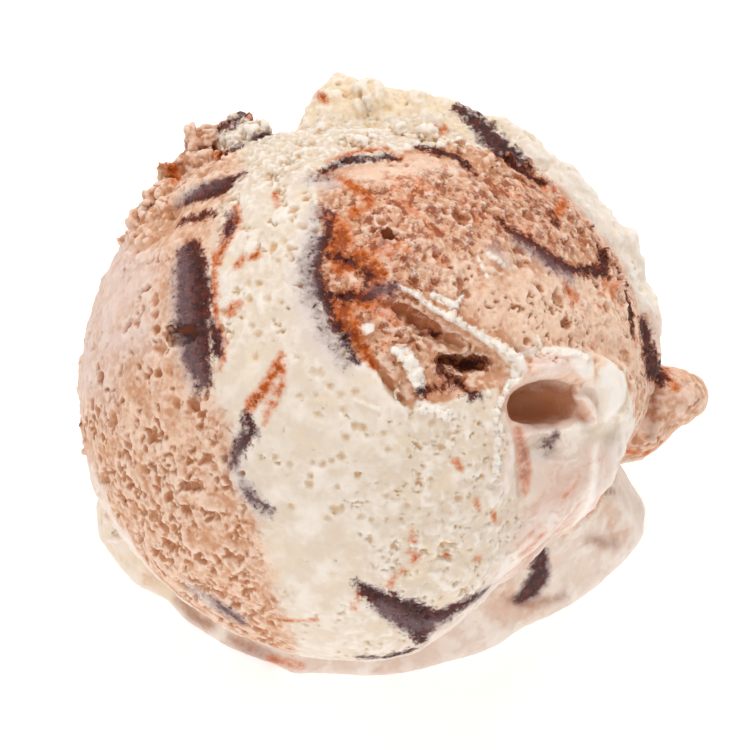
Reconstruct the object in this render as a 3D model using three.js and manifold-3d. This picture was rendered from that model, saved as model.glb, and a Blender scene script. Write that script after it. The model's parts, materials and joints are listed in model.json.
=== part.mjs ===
// A single scoop of marbled vanilla and chocolate ice cream, standing on its pressed foot.
// Millimetres, +Z up. The origin is on the table, under the middle of the scoop's bounding box.
//
// The rolled dome leans towards the front (-Y), so most places are given in the dome's own frame:
// x to the right, u up the face of the dome and w out along its axis, from the ball's centre.
// A bearing runs round that axis in degrees, from +x towards +u.
import * as THREE from "three";
import { ImprovedNoise } from "three/addons/math/ImprovedNoise.js";
import { mergeVertices } from "three/addons/utils/BufferGeometryUtils.js";
import Module from "manifold-3d";

const wasm = await Module();
wasm.setup();

// Driving dimensions.
const BALL_RADIUS = 28.8;
const CENTRE_HEIGHT = 24.5; // the ball's centre above the table, so the underside is pressed flat
const LEAN = THREE.MathUtils.degToRad(30); // of the dome's axis, from upright towards the front
const BALL_CENTRE = new THREE.Vector3(-3.3, -1.2, CENTRE_HEIGHT);
const BALL_DETAIL = 15; // subdivisions of the icosahedron that the ball is shaped from
const FACE_PULL = 0.22; // draws the facets towards the dome's face, where the relief is finest

// Where the rolled dome ends, as [bearing, distance from its axis].
const RIM_EDGE = [
  [0, 28.2], [22, 28.5], [45, 28.2], [61, 27.4], [76, 25.9], [95, 26.1], [108, 27.1], [120, 28.3],
  [132, 29.0], [138, 28.3], [145, 29.3], [162, 29.6], [180, 29.1], [195, 29.3], [204, 28.8], [215, 27.9],
  [226, 27.3], [244, 26.7], [262, 26.3], [281, 25.8], [292, 24.3], [303, 22.6], [322, 22.6], [331, 23.5],
  [343, 25.2],
];
const RIM_ROUNDING = 1.2;

// The ragged crest behind the dome, as [bearing, distance from the ball's centre].
const CREST_EDGE = [
  [-12, 27.0], [0, 29.1], [6, 30.1], [12, 30.5], [18, 31.2], [24, 32.0], [30, 32.6], [36, 31.3],
  [42, 31.4], [48, 31.2], [54, 31.0], [60, 31.6], [66, 31.2], [72, 31.3], [78, 32.2], [84, 32.3],
  [90, 32.4], [96, 33.2], [99, 32.2], [102.5, 28.2], [110, 27.0],
];
const CREST = { setBack: 4.2, faceDepth: 2.1, backDepth: 6.5, heave: 1.7, heaveLength: 4.2 };

// Roughness of the skin: the face that the scoop rolled, and the torn face behind the rim.
const ROLLED_RELIEF = { height: 0.26, length: 2.9 };
const TORN_RELIEF = { height: 1.3, length: 4.8 };
const TORN_FROM = 7; // how far behind the rim the skin is fully torn

// Patches of the dome that are rougher or smoother than the rest: gain is added to 1.
const ROUGH_PATCHES = [
  { x: -22, u: -9, reach: 10, gain: 1.1 },
  { x: 9, u: 15, reach: 9, gain: 0.6 },
  { x: -17, u: 17, reach: 5, gain: 1.0 },
  { x: 19, u: -12, reach: 9, gain: -0.8 },
  { x: -23, u: 8, reach: 7, gain: -0.4 },
];

// Broad dents and swellings of the dome: how far they reach along the skin, and their height.
const SWELLS = [
  { x: 18.3, u: -6.8, reach: 4.2, height: -2.4 }, // channel below the hollow
  { x: 16.4, u: -12.3, reach: 4.4, height: -2.2 },
  { x: 14.8, u: -17.0, reach: 4.6, height: -1.2 },
  { x: 23.6, u: -7.0, reach: 2.6, height: 0.9 }, // sagging band beside the channel
  { x: 23.2, u: -12.0, reach: 3.0, height: 0.8 },
  { x: 7.5, u: 3.2, reach: 5.2, height: -0.8 }, // scraped patch
  { x: 2.0, u: 15.0, reach: 8.0, height: 0.4 },
  { x: -19.7, u: 17.1, reach: 2.2, height: -1.3 }, // torn corner at the upper left
  { x: -15.8, u: 6.5, reach: 3.2, height: -0.4 },
];

// The hollow that the scoop's blade tore open, and the furrows and pits: [x, u, half width] along
// each, sunk by its depth.
const HOLLOW = { x: 17.6, u: -0.9, depth: 1.3, axes: [4.5, 2.5, 4.4] };
const FURROWS = [
  { beads: [[1.9, 8.9, 0.6], [4.5, 7.5, 0.9], [7.0, 6.2, 0.9], [9.1, 5.0, 0.9], [11.2, 4.0, 0.6]], depth: 0.5 },
  { beads: [[7.4, 3.7, 0.7], [9.7, 3.2, 1.0], [11.8, 3.1, 0.8]], depth: 0.8 },
  { beads: [[0.8, 3.6, 0.4], [2.4, 1.0, 0.7], [4.1, -1.1, 0.5]], depth: 0.3 },
  { beads: [[-18.9, 5.4, 0.8], [-17.8, 5.8, 1.0], [-16.8, 6.2, 0.8]], depth: 0.6 },
  { beads: [[-20.4, 4.0, 0.5], [-19.5, 4.9, 0.7], [-19.0, 5.4, 0.6]], depth: 0.3 },
  { beads: [[-16.9, -1.0, 0.6], [-16.1, -0.6, 0.7], [-15.4, -0.5, 0.5]], depth: 0.3 },
  { beads: [[9.2, 17.6, 0.7], [9.4, 16.8, 0.7]], depth: 0.2 },
  { beads: [[9.2, 11.0, 0.5], [9.5, 9.9, 0.5]], depth: 0.2 },
  { beads: [[18.3, 9.8, 0.5], [19.0, 8.8, 0.5]], depth: 0.2 },
];

// Curls, slivers and lobes that stand on the dome: [x, u, half width] along each.
const STRANDS = [
  { beads: [[13.4, 0.7, 0.6], [15.2, 2.0, 1.1], [17.6, 2.9, 1.6], [19.6, 3.1, 1.9], [21.6, 2.5, 2.2], [23.2, 1.2, 2.2],
    [23.4, -0.8, 1.8], [22.7, -2.5, 1.1]], lift: 0.5, flatness: 0.9 }, // lip over the hollow
  { beads: [[3.2, 10.3, 0.35], [6.4, 8.4, 0.45], [9.7, 6.5, 0.6], [12.2, 5.0, 0.75], [14.0, 3.4, 0.8], [14.6, 1.6, 0.6]],
    lift: 0.1, flatness: 0.9 }, // sliver above the long furrow
  { beads: [[14.0, 0.6, 0.5], [12.7, -0.6, 0.7], [12.4, -2.6, 0.8], [12.7, -5.0, 0.9], [12.3, -8.4, 0.5]],
    lift: -0.1, flatness: 0.8 }, // edge of the channel
  { beads: [[2.5, 4.1, 0.5], [4.3, 4.1, 0.75], [4.8, 2.6, 0.7], [5.6, 1.2, 0.7], [4.5, 0.3, 0.5]], lift: 0.1, flatness: 0.7 },
  { beads: [[-1.8, 5.7, 0.35], [-0.5, 6.2, 0.55], [0.8, 6.6, 0.35]], lift: 0.05, flatness: 0.8 },
  { beads: [[4.7, -0.9, 0.4], [6.6, -1.3, 0.7], [8.6, -2.0, 0.5]], lift: 0.0, flatness: 0.8 },
  { beads: [[23.6, -3.4, 1.4], [23.8, -7.0, 1.3], [23.8, -10.5, 1.5], [23.2, -14.8, 1.8]], lift: -0.3, flatness: 0.8 }, // sagging band
  { beads: [[-19.0, 19.4, 0.7], [-16.4, 20.2, 1.3], [-13.2, 21.8, 0.9]], lift: 0.1, flatness: 0.7 },
];

// Lumps torn up round the rim: place and half sizes in the dome's frame, and turn about w.
const LUMPS = [
  { at: [-16.2, 25.3, -1.5], axes: [1.8, 1.7, 2.4], turn: 0.3 },
  { at: [-12.6, 25.6, -1.2], axes: [1.9, 1.7, 2.4], turn: -0.2 },
  { at: [-16.4, 23.0, -0.5], axes: [1.7, 1.7, 2.4], turn: 0.5 },
  { at: [-18.7, 22.2, -1.0], axes: [0.9, 1.6, 2.0], turn: -0.1 },
  { at: [-13.2, 27.0, -1.5], axes: [1.6, 0.7, 0.8], turn: 0.3 },
  { at: [-11.8, 27.9, -1.8], axes: [0.6, 1.1, 0.7], turn: -0.5 },
  { at: [-14.4, 24.4, 0.0], axes: [1.6, 1.6, 2.2], turn: 0.0 },
  { at: [23.2, 0.6, 16.6], axes: [2.1, 2.9, 2.6], turn: 0.15 }, // the bulb that ends the lip
  { at: [26.8, 4.3, -12.0], axes: [3.4, 3.2, 5.5], turn: 0.2 }, // the flap at the right
  { at: [29.9, -0.6, -14.0], axes: [4.6, 3.6, 4.6], turn: 0.1 },
  { at: [32.6, -0.4, -14.5], axes: [2.7, 2.5, 3.4], turn: 0.4 },
  { at: [27.8, -3.8, -13.5], axes: [4.0, 2.8, 4.6], turn: 0.45 },
];

// Crumbs strewn over the crest's face: their bearings, and the range of their radii.
const CREST_CRUMBS = { from: 8, to: 98, count: 11, small: 1.2, large: 2.6, setBack: 3.6 };

// The foot: its edge on the table, as [bearing on the table, radius] round the ball's centre, and
// its profile from the table up, as [share of that radius, height].
const FOOT_EDGE = [
  [2, 29.0], [5, 28.0], [8, 27.3], [14, 26.0], [30, 24.0], [60, 22.6], [96, 21.8], [120, 22.4], [150, 24.8],
  [175, 27.8], [187, 27.8], [192, 27.0], [200, 25.8], [204, 23.4], [213, 22.8], [223, 21.9], [230, 21.5],
  [240, 20.6], [248, 20.9], [258, 19.6], [279, 19.5], [292, 19.7], [309, 20.9], [321, 21.8], [329, 23.3],
  [336, 25.0], [343, 26.6], [350, 28.3], [355, 29.5],
];
const FOOT_PROFILE = [[0.97, 0], [1.0, 1.2], [0.99, 2.4], [0.95, 4.6], [0.9, 7.6], [0.85, 11.5]];
const FOOT_STEPS = 52;
const FOOT_RELIEF = { front: 0.4, back: 1.7, length: 5.5 };

const noise = new ImprovedNoise();
// Two octaves of noise at a point, for lumps about one length across.
function roughness(point, length, seed) {
  const octave = (scale) =>
    noise.noise((point.x * scale) / length + seed, (point.y * scale) / length - seed, (point.z * scale) / length);
  return octave(1) + 0.5 * octave(2.1);
}

// The value at a bearing, read from [bearing, value] pairs; past the last pair it closes the circle.
function readOff(table, bearing) {
  const turned = table[0][0] + THREE.MathUtils.euclideanModulo(bearing - table[0][0], 360);
  const closed = [...table, [table[0][0] + 360, table[0][1]]];
  const next = closed.findIndex(([angle]) => angle > turned);
  const [[startAngle, startValue], [endAngle, endValue]] = [closed[next - 1], closed[next]];
  return THREE.MathUtils.lerp(startValue, endValue, (turned - startAngle) / (endAngle - startAngle));
}

// A place in the dome's frame as a place in the part's axes, from the ball's centre.
const RIGHT = new THREE.Vector3(1, 0, 0);
const UP_FACE = new THREE.Vector3(0, Math.cos(LEAN), Math.sin(LEAN));
const DOME_AXIS = new THREE.Vector3(0, -Math.sin(LEAN), Math.cos(LEAN));
function onDome(x, u, w) {
  return new THREE.Vector3().addScaledVector(RIGHT, x).addScaledVector(UP_FACE, u).addScaledVector(DOME_AXIS, w);
}

// The point of the plain ball that lies at x, u on the dome's face.
function onBall(x, u) {
  return onDome(x, u, Math.sqrt(Math.max(0, BALL_RADIUS ** 2 - x * x - u * u)));
}

// A bump of height 1 round a place on the ball.
function bump(skin, { x, u, reach }) {
  return Math.exp(-((skin.distanceTo(onBall(x, u)) / reach) ** 2));
}

// The smaller of two lengths, with the corner between them rounded.
function rounded(a, b, rounding) {
  const gap = (a - b) / rounding;
  return Math.min(a, b) - 0.25 * rounding * Math.exp(-gap * gap);
}

// How much of the crest there is at a bearing and a depth: 1 along its edge.
function crestShare(w, bearing) {
  const inside = bearing > CREST_EDGE[0][0] && bearing < CREST_EDGE.at(-1)[0];
  const off = w + CREST.setBack;
  return inside ? Math.exp(-((off / (off > 0 ? CREST.faceDepth : CREST.backDepth)) ** 2)) : 0;
}

function bearingOf(place) {
  return THREE.MathUtils.radToDeg(Math.atan2(place.dot(UP_FACE), place.x));
}

// The ball's radius along a unit direction in the part's axes.
function ballRadius(direction) {
  const skin = direction.clone().multiplyScalar(BALL_RADIUS);
  const w = skin.dot(DOME_AXIS);
  const outwards = Math.sqrt(Math.max(1 - (w / BALL_RADIUS) ** 2, 0.04));
  const bearing = bearingOf(direction);
  let radius = rounded(BALL_RADIUS, readOff(RIM_EDGE, bearing) / (w > 0 ? outwards : 1), RIM_ROUNDING);
  for (const swell of SWELLS) radius += swell.height * bump(skin, swell);
  const crest = crestShare(w, bearing);
  if (crest > 0) radius = Math.max(radius, THREE.MathUtils.lerp(radius, readOff(CREST_EDGE, bearing), crest));
  const torn = 1 - THREE.MathUtils.smoothstep(w, -TORN_FROM, 1);
  const gain = ROUGH_PATCHES.reduce((sum, patch) => sum + patch.gain * bump(skin, patch), 1);
  radius += ROLLED_RELIEF.height * gain * roughness(skin, ROLLED_RELIEF.length, 3.7) * (1 - torn);
  radius += TORN_RELIEF.height * roughness(skin, TORN_RELIEF.length, 9.2) * torn;
  return radius;
}

// A place on the shaped dome, moved out by lift.
function onSkin(x, u, lift = 0) {
  const direction = onBall(x, u).normalize();
  return direction.clone().multiplyScalar(ballRadius(direction) + lift);
}

// A three.js geometry as a solid, and back.
function solid(geometry) {
  const bare = geometry.index ? geometry.toNonIndexed() : geometry.clone();
  for (const name of Object.keys(bare.attributes)) if (name !== "position") bare.deleteAttribute(name);
  const merged = mergeVertices(bare, 1e-4);
  return new wasm.Manifold(new wasm.Mesh({
    numProp: 3,
    vertProperties: merged.attributes.position.array,
    triVerts: new Uint32Array(merged.index.array),
  }));
}
function geometryOf(made) {
  const mesh = made.getMesh();
  const positions = new Float32Array(mesh.numVert * 3);
  for (let i = 0; i < mesh.numVert; i++)
    positions.set(mesh.vertProperties.subarray(i * mesh.numProp, i * mesh.numProp + 3), i * 3);
  return new THREE.BufferGeometry()
    .setAttribute("position", new THREE.BufferAttribute(positions, 3))
    .setIndex(new THREE.BufferAttribute(mesh.triVerts, 1));
}

// Moves each vertex of a geometry to where the function puts it.
function shaped(geometry, move) {
  const positions = geometry.attributes.position;
  for (let i = 0; i < positions.count; i++)
    positions.setXYZ(i, ...move(new THREE.Vector3().fromBufferAttribute(positions, i)).toArray());
  return geometry;
}

function ball() {
  const sphere = new THREE.IcosahedronGeometry(1, BALL_DETAIL);
  return solid(shaped(sphere, (point) => {
    const direction = point.normalize().addScaledVector(DOME_AXIS, FACE_PULL).normalize();
    const place = direction.clone().multiplyScalar(ballRadius(direction));
    const crest = crestShare(direction.dot(DOME_AXIS) * BALL_RADIUS, bearingOf(direction));
    return place.addScaledVector(DOME_AXIS, crest * CREST.heave * roughness(place, CREST.heaveLength, 6.1));
  }));
}

// A rough ellipsoid with its axes along the dome's x, u and w, turned about w.
function lump({ at, axes, turn }, detail = 3, rough = 0.3) {
  const sphere = new THREE.IcosahedronGeometry(1, detail);
  return solid(shaped(sphere, (point) => {
    point.multiplyScalar(1 + rough * roughness(point, 0.9, at[0] + at[1]));
    const [x, u, w] = [point.x * axes[0], point.y * axes[1], point.z * axes[2]];
    return onDome(
      at[0] + x * Math.cos(turn) - u * Math.sin(turn),
      at[1] + x * Math.sin(turn) + u * Math.cos(turn),
      at[2] + w,
    );
  }));
}

// A tapering roll laid along the dome. Flatness is its height over its width.
function strand({ beads, lift, flatness }) {
  const path = new THREE.CatmullRomCurve3(beads.map(([x, u]) => onSkin(x, u, lift)));
  const roll = new THREE.SphereGeometry(1, 6, 2 * beads.length);
  return solid(shaped(roll, (point) => {
    const share = THREE.MathUtils.clamp((1 - point.y) / 2, 0, 1);
    const place = path.getPoint(share);
    const bead = Math.min(Math.floor(share * (beads.length - 1)), beads.length - 2);
    const halfWidth = THREE.MathUtils.lerp(beads[bead][2], beads[bead + 1][2], share * (beads.length - 1) - bead);
    const ring = Math.hypot(point.x, point.z);
    const scale = ring > 1e-6 ? (halfWidth * Math.sqrt(ring)) / ring : 0;
    const swell = 1 + 0.3 * roughness(place, 1.6, 1.3);
    const out = place.clone().normalize();
    const side = out.clone().cross(path.getTangent(share)).normalize();
    return place.addScaledVector(side, point.x * scale * swell).addScaledVector(out, point.z * scale * flatness * swell);
  }));
}

function foot() {
  const outline = [[0, 0], ...FOOT_PROFILE, [0, FOOT_PROFILE.at(-1)[1]]];
  const lathe = new THREE.LatheGeometry(outline.map(([share, height]) => new THREE.Vector2(share, height)), FOOT_STEPS);
  lathe.rotateX(Math.PI / 2);
  return solid(shaped(lathe, (point) => {
    const edge = readOff(FOOT_EDGE, THREE.MathUtils.radToDeg(Math.atan2(point.y, point.x)));
    const place = new THREE.Vector3(point.x * edge, point.y * edge, point.z);
    const back = THREE.MathUtils.smoothstep(place.y, -2, 12);
    const height = THREE.MathUtils.lerp(FOOT_RELIEF.front, FOOT_RELIEF.back, back);
    const rough = place.length() > edge / 2 ? height * roughness(place, FOOT_RELIEF.length, 5.5) : 0;
    return place.setZ(0).multiplyScalar(1 + rough / edge).setZ(point.z - CENTRE_HEIGHT);
  }));
}

// A number from 0 to 1 that only depends on its key.
function scattered(key) {
  const wave = Math.sin(key * 127.1 + 311.7) * 43758.5453;
  return wave - Math.floor(wave);
}

function crestCrumb(index) {
  const { from, to, count, small, large, setBack } = CREST_CRUMBS;
  const bearing = THREE.MathUtils.lerp(from, to, (index + scattered(index)) / count);
  const radius = THREE.MathUtils.lerp(small, large, scattered(index + 50));
  const reach = readOff(CREST_EDGE, bearing) - radius * (0.8 + 1.2 * scattered(index + 90));
  const angle = THREE.MathUtils.degToRad(bearing);
  const at = [reach * Math.cos(angle), reach * Math.sin(angle), -setBack - scattered(index + 20)];
  return lump({ at, axes: [radius, radius * 0.75, radius * 0.8], turn: angle + 3 * scattered(index + 9) }, 1, 0.5);
}

const table = solid(new THREE.BoxGeometry(120, 120, 40).translate(0, 0, -CENTRE_HEIGHT - 20));

let scoop = ball().add(foot());
for (const torn of LUMPS) scoop = scoop.add(lump(torn, torn.axes[0] < 1 ? 1 : 2));
for (let index = 0; index < CREST_CRUMBS.count; index++) scoop = scoop.add(crestCrumb(index));
scoop = scoop.subtract(lump({ at: onHollow(), axes: HOLLOW.axes, turn: 0 }, 4, 0.15));
for (const { beads, depth } of FURROWS) scoop = scoop.subtract(strand({ beads, lift: -depth, flatness: 1.1 }));
for (const roll of STRANDS) scoop = scoop.add(strand(roll));
scoop = scoop.subtract(table);

// The hollow's middle in the dome's frame.
function onHollow() {
  const place = onSkin(HOLLOW.x, HOLLOW.u, -HOLLOW.depth);
  return [place.x, place.dot(UP_FACE), place.dot(DOME_AXIS)];
}

const iceCream = new THREE.MeshStandardMaterial({ color: 0xe9d8c6, roughness: 0.55, metalness: 0 });
const scoopMesh = new THREE.Mesh(geometryOf(scoop), iceCream);
scoopMesh.name = "scoop";
scoopMesh.position.copy(BALL_CENTRE);

const part = new THREE.Group();
part.add(scoopMesh);
export default part;
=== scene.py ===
import json
import math
from contextlib import contextmanager
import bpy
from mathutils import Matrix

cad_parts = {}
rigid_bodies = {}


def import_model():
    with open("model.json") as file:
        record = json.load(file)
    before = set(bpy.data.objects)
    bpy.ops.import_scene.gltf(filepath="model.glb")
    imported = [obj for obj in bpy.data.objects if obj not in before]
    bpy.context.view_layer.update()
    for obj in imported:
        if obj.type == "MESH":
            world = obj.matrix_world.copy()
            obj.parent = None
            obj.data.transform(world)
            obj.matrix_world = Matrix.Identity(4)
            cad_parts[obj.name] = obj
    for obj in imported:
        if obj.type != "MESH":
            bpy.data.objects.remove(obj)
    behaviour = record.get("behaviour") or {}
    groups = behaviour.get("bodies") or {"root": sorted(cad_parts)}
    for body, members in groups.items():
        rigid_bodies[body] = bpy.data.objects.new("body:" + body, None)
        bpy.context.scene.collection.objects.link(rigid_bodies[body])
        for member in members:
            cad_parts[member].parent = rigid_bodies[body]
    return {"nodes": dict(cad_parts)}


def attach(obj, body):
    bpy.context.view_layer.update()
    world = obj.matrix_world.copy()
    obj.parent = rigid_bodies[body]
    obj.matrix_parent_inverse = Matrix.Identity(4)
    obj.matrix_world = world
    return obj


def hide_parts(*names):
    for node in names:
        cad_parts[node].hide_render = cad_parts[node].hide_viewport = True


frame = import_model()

from types import SimpleNamespace

import bpy
import numpy as np
from bpy.props import FloatProperty, FloatVectorProperty, IntProperty, PointerProperty
from mathutils import Vector, kdtree

bl_info = {
    "name": "Scoop of ice cream",
    "version": (1, 0, 0),
    "blender": (4, 5, 0),
    "location": "3D View > Sidebar > Scoop",
    "description": "Marbled scoop of vanilla and chocolate ice cream, with its stage",
    "category": "Object",
}

MM = 0.001

# The scoop's own frame, as in its solid: the rolled dome leans towards -Y. Places on it are given
# in mm as x to the right and u up its face; w runs out along the dome's axis from the ball's centre.
BALL_RADIUS = 28.8
BALL_CENTRE = np.array([-3.3, -1.2, 24.5])
LEAN = math.radians(30.0)
RIGHT = np.array([1.0, 0.0, 0.0])
UP_FACE = np.array([0.0, math.cos(LEAN), math.sin(LEAN)])
DOME_AXIS = np.array([0.0, -math.sin(LEAN), math.cos(LEAN)])
RIM_CUT = -1.6  # the rolled dome and the torn part behind it meet at this w, in the crease

# ---------------------------------------------------------------------------------------------
# Places of the marbling, in mm on the dome: (x, u, half width) along each stroke.

RIBBONS = [
    [(-4.2, 21.6, 0.2), (-2.6, 22.4, 0.45), (-1.3, 22.9, 0.5), (0.6, 23.0, 0.4), (2.0, 23.3, 0.4),
     (3.3, 22.8, 0.1)],
    [(5.2, 24.1, 0.3), (6.8, 23.8, 0.6), (8.6, 23.4, 0.5), (9.8, 22.6, 0.5), (10.6, 21.6, 0.2)],
    [(12.0, 25.0, 0.8), (13.2, 23.7, 1.0), (14.8, 22.8, 0.9), (16.0, 21.8, 1.1), (17.6, 20.8, 0.5)],
    [(12.6, 17.5, 0.1), (13.5, 16.5, 0.3), (14.4, 15.8, 0.35), (16.0, 15.0, 0.45), (17.2, 14.0, 0.55),
     (18.4, 12.9, 0.7), (20.5, 12.2, 0.5), (23.7, 12.2, 0.6)],
    [(23.3, 15.0, 0.4), (23.4, 13.0, 1.0)],
    [(18.3, 18.1, 0.2), (18.7, 16.8, 0.45)],
    [(25.3, 13.0, 0.4), (25.9, 10.5, 0.75), (26.4, 8.5, 0.85), (26.3, 6.1, 0.4)],
    [(-17.0, 14.0, 1.2), (-16.6, 12.1, 1.7), (-16.4, 9.2, 1.8), (-16.2, 6.3, 1.6), (-16.0, 3.9, 1.3),
     (-15.4, 1.5, 0.6)],
    [(-14.8, 7.2, 0.3), (-14.3, 5.7, 0.5), (-14.1, 4.1, 0.3)],
    [(-3.8, 17.8, 0.1), (-3.3, 16.0, 0.5), (-3.9, 14.5, 0.45), (-4.6, 13.1, 0.4), (-4.4, 10.7, 0.5),
     (-3.8, 9.6, 0.6), (-3.2, 7.9, 0.3), (-2.7, 6.7, 0.5), (-1.6, 4.9, 0.2), (-0.8, 3.4, 0.2)],
    [(-3.4, 13.4, 0.4), (-1.0, 12.9, 0.35), (0.4, 11.5, 0.2), (-0.1, 10.0, 0.2)],
    [(-4.2, 9.8, 0.5), (-2.6, 9.5, 0.5), (-0.1, 9.4, 0.35), (1.4, 9.9, 0.35), (2.9, 10.4, 0.1)],
    [(-13.1, 17.6, 0.1), (-13.0, 16.2, 0.4), (-13.5, 15.0, 0.2)],
    [(-17.8, 17.0, 0.35), (-16.2, 17.4, 0.5), (-14.7, 17.7, 0.35)],
    [(-17.4, 19.0, 0.4), (-15.6, 19.8, 1.2), (-13.8, 20.5, 1.3), (-12.3, 21.4, 0.4)],
    [(-11.4, -1.7, 0.2), (-10.9, -3.3, 0.6), (-11.6, -4.5, 0.5), (-12.5, -6.1, 0.2)],
    [(-11.3, -9.1, 0.15), (-10.8, -9.8, 0.25), (-8.9, -10.9, 0.05)],
    [(-0.8, -18.0, 0.3), (0.8, -19.1, 0.8), (2.4, -20.2, 1.3), (4.6, -21.2, 1.7), (5.6, -22.6, 1.3),
     (5.4, -24.0, 0.4)],
    [(5.2, -21.4, 1.1), (7.3, -21.4, 0.9), (10.0, -20.0, 0.5), (12.2, -18.8, 0.15)],
    [(-0.3, -25.6, 0.2), (0.9, -25.7, 0.35), (2.5, -25.5, 0.35), (4.7, -24.8, 0.15)],
    [(-14.4, -20.2, 0.0), (-13.4, -21.0, 0.2), (-12.0, -22.2, 0.2)],
    [(7.7, 3.4, 0.25), (9.6, 3.1, 0.5), (11.6, 3.2, 0.3)],
    [(7.1, 3.0, 0.3), (7.8, 1.8, 0.4), (9.2, 1.0, 0.35), (10.0, 0.2, 0.3), (10.9, -0.1, 0.2)],
    [(5.3, 0.5, 0.15), (6.6, 0.7, 0.25), (7.7, 0.7, 0.15)],
    [(18.5, -3.8, 0.2), (18.4, -3.9, 0.2)],
    [(17.9, -4.3, 0.15), (17.7, -4.5, 0.15)],
    [(6.0, 6.3, 0.1), (6.9, 5.8, 0.15)],
]

RUST = [
    [(-4.6, 17.4, 0.1), (-2.2, 16.4, 0.7), (-2.0, 14.8, 1.0), (-2.8, 14.0, 0.9), (-2.2, 12.4, 0.9),
     (-0.2, 13.2, 0.9), (1.4, 11.7, 0.7), (0.6, 9.4, 0.8), (-2.2, 8.9, 0.9), (-2.0, 7.4, 0.9),
     (-0.4, 5.0, 0.6), (0.8, 2.9, 0.3)],
    [(-3.6, 22.7, 0.1), (-1.2, 23.6, 0.25), (2.0, 24.0, 0.25), (3.6, 23.2, 0.1)],
    [(-2.5, 21.0, 0.3), (-0.6, 20.0, 0.5), (0.6, 18.6, 0.5), (-1.0, 17.6, 0.5)],
    [(-14.5, 13.6, 0.2), (-14.4, 10.0, 0.3), (-14.3, 7.6, 0.3), (-13.4, 4.6, 0.3), (-13.8, 2.6, 0.2)],
    [(-7.9, 4.1, 0.1), (-8.5, 2.6, 0.35), (-9.4, 0.9, 0.5), (-10.8, -0.8, 0.6), (-11.3, -1.6, 0.3)],
    [(-7.5, 3.0, 0.1), (-7.9, 0.9, 0.25), (-9.0, -1.0, 0.3), (-9.6, -2.6, 0.1)],
    [(-12.5, 18.2, 0.3), (-12.8, 16.4, 0.8), (-13.4, 15.0, 0.6), (-14.2, 12.8, 0.4)],
    [(-12.2, 12.6, 0.4), (-11.6, 13.4, 0.2)],
    [(-11.2, 13.2, 0.1), (-10.3, 13.6, 0.3)],
    [(-12.9, 8.2, 0.5), (-12.3, 8.7, 0.4)],
    [(-8.7, 19.6, 0.15), (-8.4, 18.4, 0.2)],
    [(4.6, -12.9, 0.0), (4.4, -13.6, 0.15), (4.8, -14.0, 0.1)],
    [(4.0, -15.0, 0.0), (5.2, -15.3, 0.15), (4.6, -16.0, 0.2)],
    [(3.7, -16.8, 0.15), (3.0, -17.4, 0.1)],
    [(2.6, -18.0, 0.2), (2.3, -18.4, 0.1)],
    [(7.9, -15.2, 0.2), (8.1, -15.3, 0.1)],
    [(10.8, -15.7, 0.2), (11.0, -15.9, 0.1)],
    [(-8.4, -21.8, 0.08), (-6.5, -21.9, 0.12), (-4.6, -21.7, 0.08)],
    [(-0.6, -18.9, 0.12), (-1.1, -20.6, 0.15)],
    [(14.7, -3.4, 0.4), (15.2, -5.2, 0.6), (15.5, -7.4, 0.7), (15.6, -9.4, 0.3)],
    [(8.8, -6.3, 0.25), (9.2, -6.9, 0.1)],
    [(10.6, -10.0, 0.15), (11.0, -10.9, 0.1)],
    [(12.3, -11.2, 0.1), (12.6, -12.1, 0.15), (13.0, -12.4, 0.05)],
    [(15.2, -15.6, 0.15), (17.3, -13.6, 0.2)],
    [(21.0, -10.4, 0.0), (16.4, -16.0, 0.05), (12.0, -19.8, 0.0)],
    [(20.8, -7.8, 0.0), (20.4, -8.8, 0.1), (19.4, -9.8, 0.1)],
    [(14.9, -14.6, 0.05), (17.0, -12.6, 0.05)],
    [(20.6, 21.6, 0.3), (19.6, 19.0, 0.3), (18.4, 17.4, 0.2)],
]

# Marks on what sticks out past the dome: the crest, the crumbs, the flap and the foot.
RIM_RIBBONS = [
    [(9.4, 28.8, 0.4), (11.2, 27.6, 0.7), (12.4, 26.0, 0.9), (13.4, 24.9, 0.9), (15.0, 23.8, 0.7),
     (16.2, 22.8, 0.3)],
    [(27.9, 7.0, 0.5), (28.3, 4.6, 0.8), (28.8, 2.6, 1.1), (30.0, 1.7, 0.7)],
    [(17.7, -16.0, 0.6), (17.7, -18.4, 0.9), (16.8, -19.9, 0.8), (15.6, -20.8, 0.4)],
    [(-14.4, 26.6, 0.25), (-12.9, 27.3, 0.3), (-11.9, 28.2, 0.2)],
    [(-14.0, 23.4, 0.3), (-12.4, 24.0, 0.6), (-10.7, 23.8, 0.4)],
    [(-10.8, 25.2, 0.35), (-9.6, 25.7, 0.25)],
]
RIM_RUST = [
    [(-4.4, 30.0, 0.4), (-4.0, 29.6, 0.3)],
    [(-19.4, 23.0, 0.4), (-19.0, 21.6, 0.5)],
    [(-14.2, 23.6, 0.5), (-13.4, 23.4, 0.5)],
    [(-11.7, 28.6, 0.4), (-11.6, 28.0, 0.4)],
    [(-9.6, -27.0, 0.4), (-6.6, -27.5, 0.4)],
    [(30.6, 2.2, 0.3), (31.6, 0.6, 0.2)],
    [(6.0, 26.0, 0.3), (8.0, 26.6, 0.3)],
]

# Brown smudges in the foot, the flap and the crumbs; the two at the lower left lie in the crease under the
# dome's overhang and paint its shade there.
RIM_SMUDGES = [
    [(-17.4, 25.6, 0.7), (-15.2, 25.0, 0.9)],
    [(22.8, -14.8, 0.2), (25.2, -15.3, 0.4)],
    [(24.9, -9.5, 0.1), (25.0, -9.9, 0.1)],
    [(29.4, 0.4, 0.4), (29.2, -3.8, 0.3)],
    [(-13.8, -24.8, 0.3), (-11.8, -25.9, 0.9), (-9.8, -26.8, 0.6)],
    [(-19.0, -21.2, 0.3), (-17.4, -22.6, 0.8), (-15.8, -23.6, 0.4)],
    [(14.6, -20.9, 0.2), (17.0, -21.5, 0.2), (20.2, -20.8, 0.1)],
]

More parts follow.
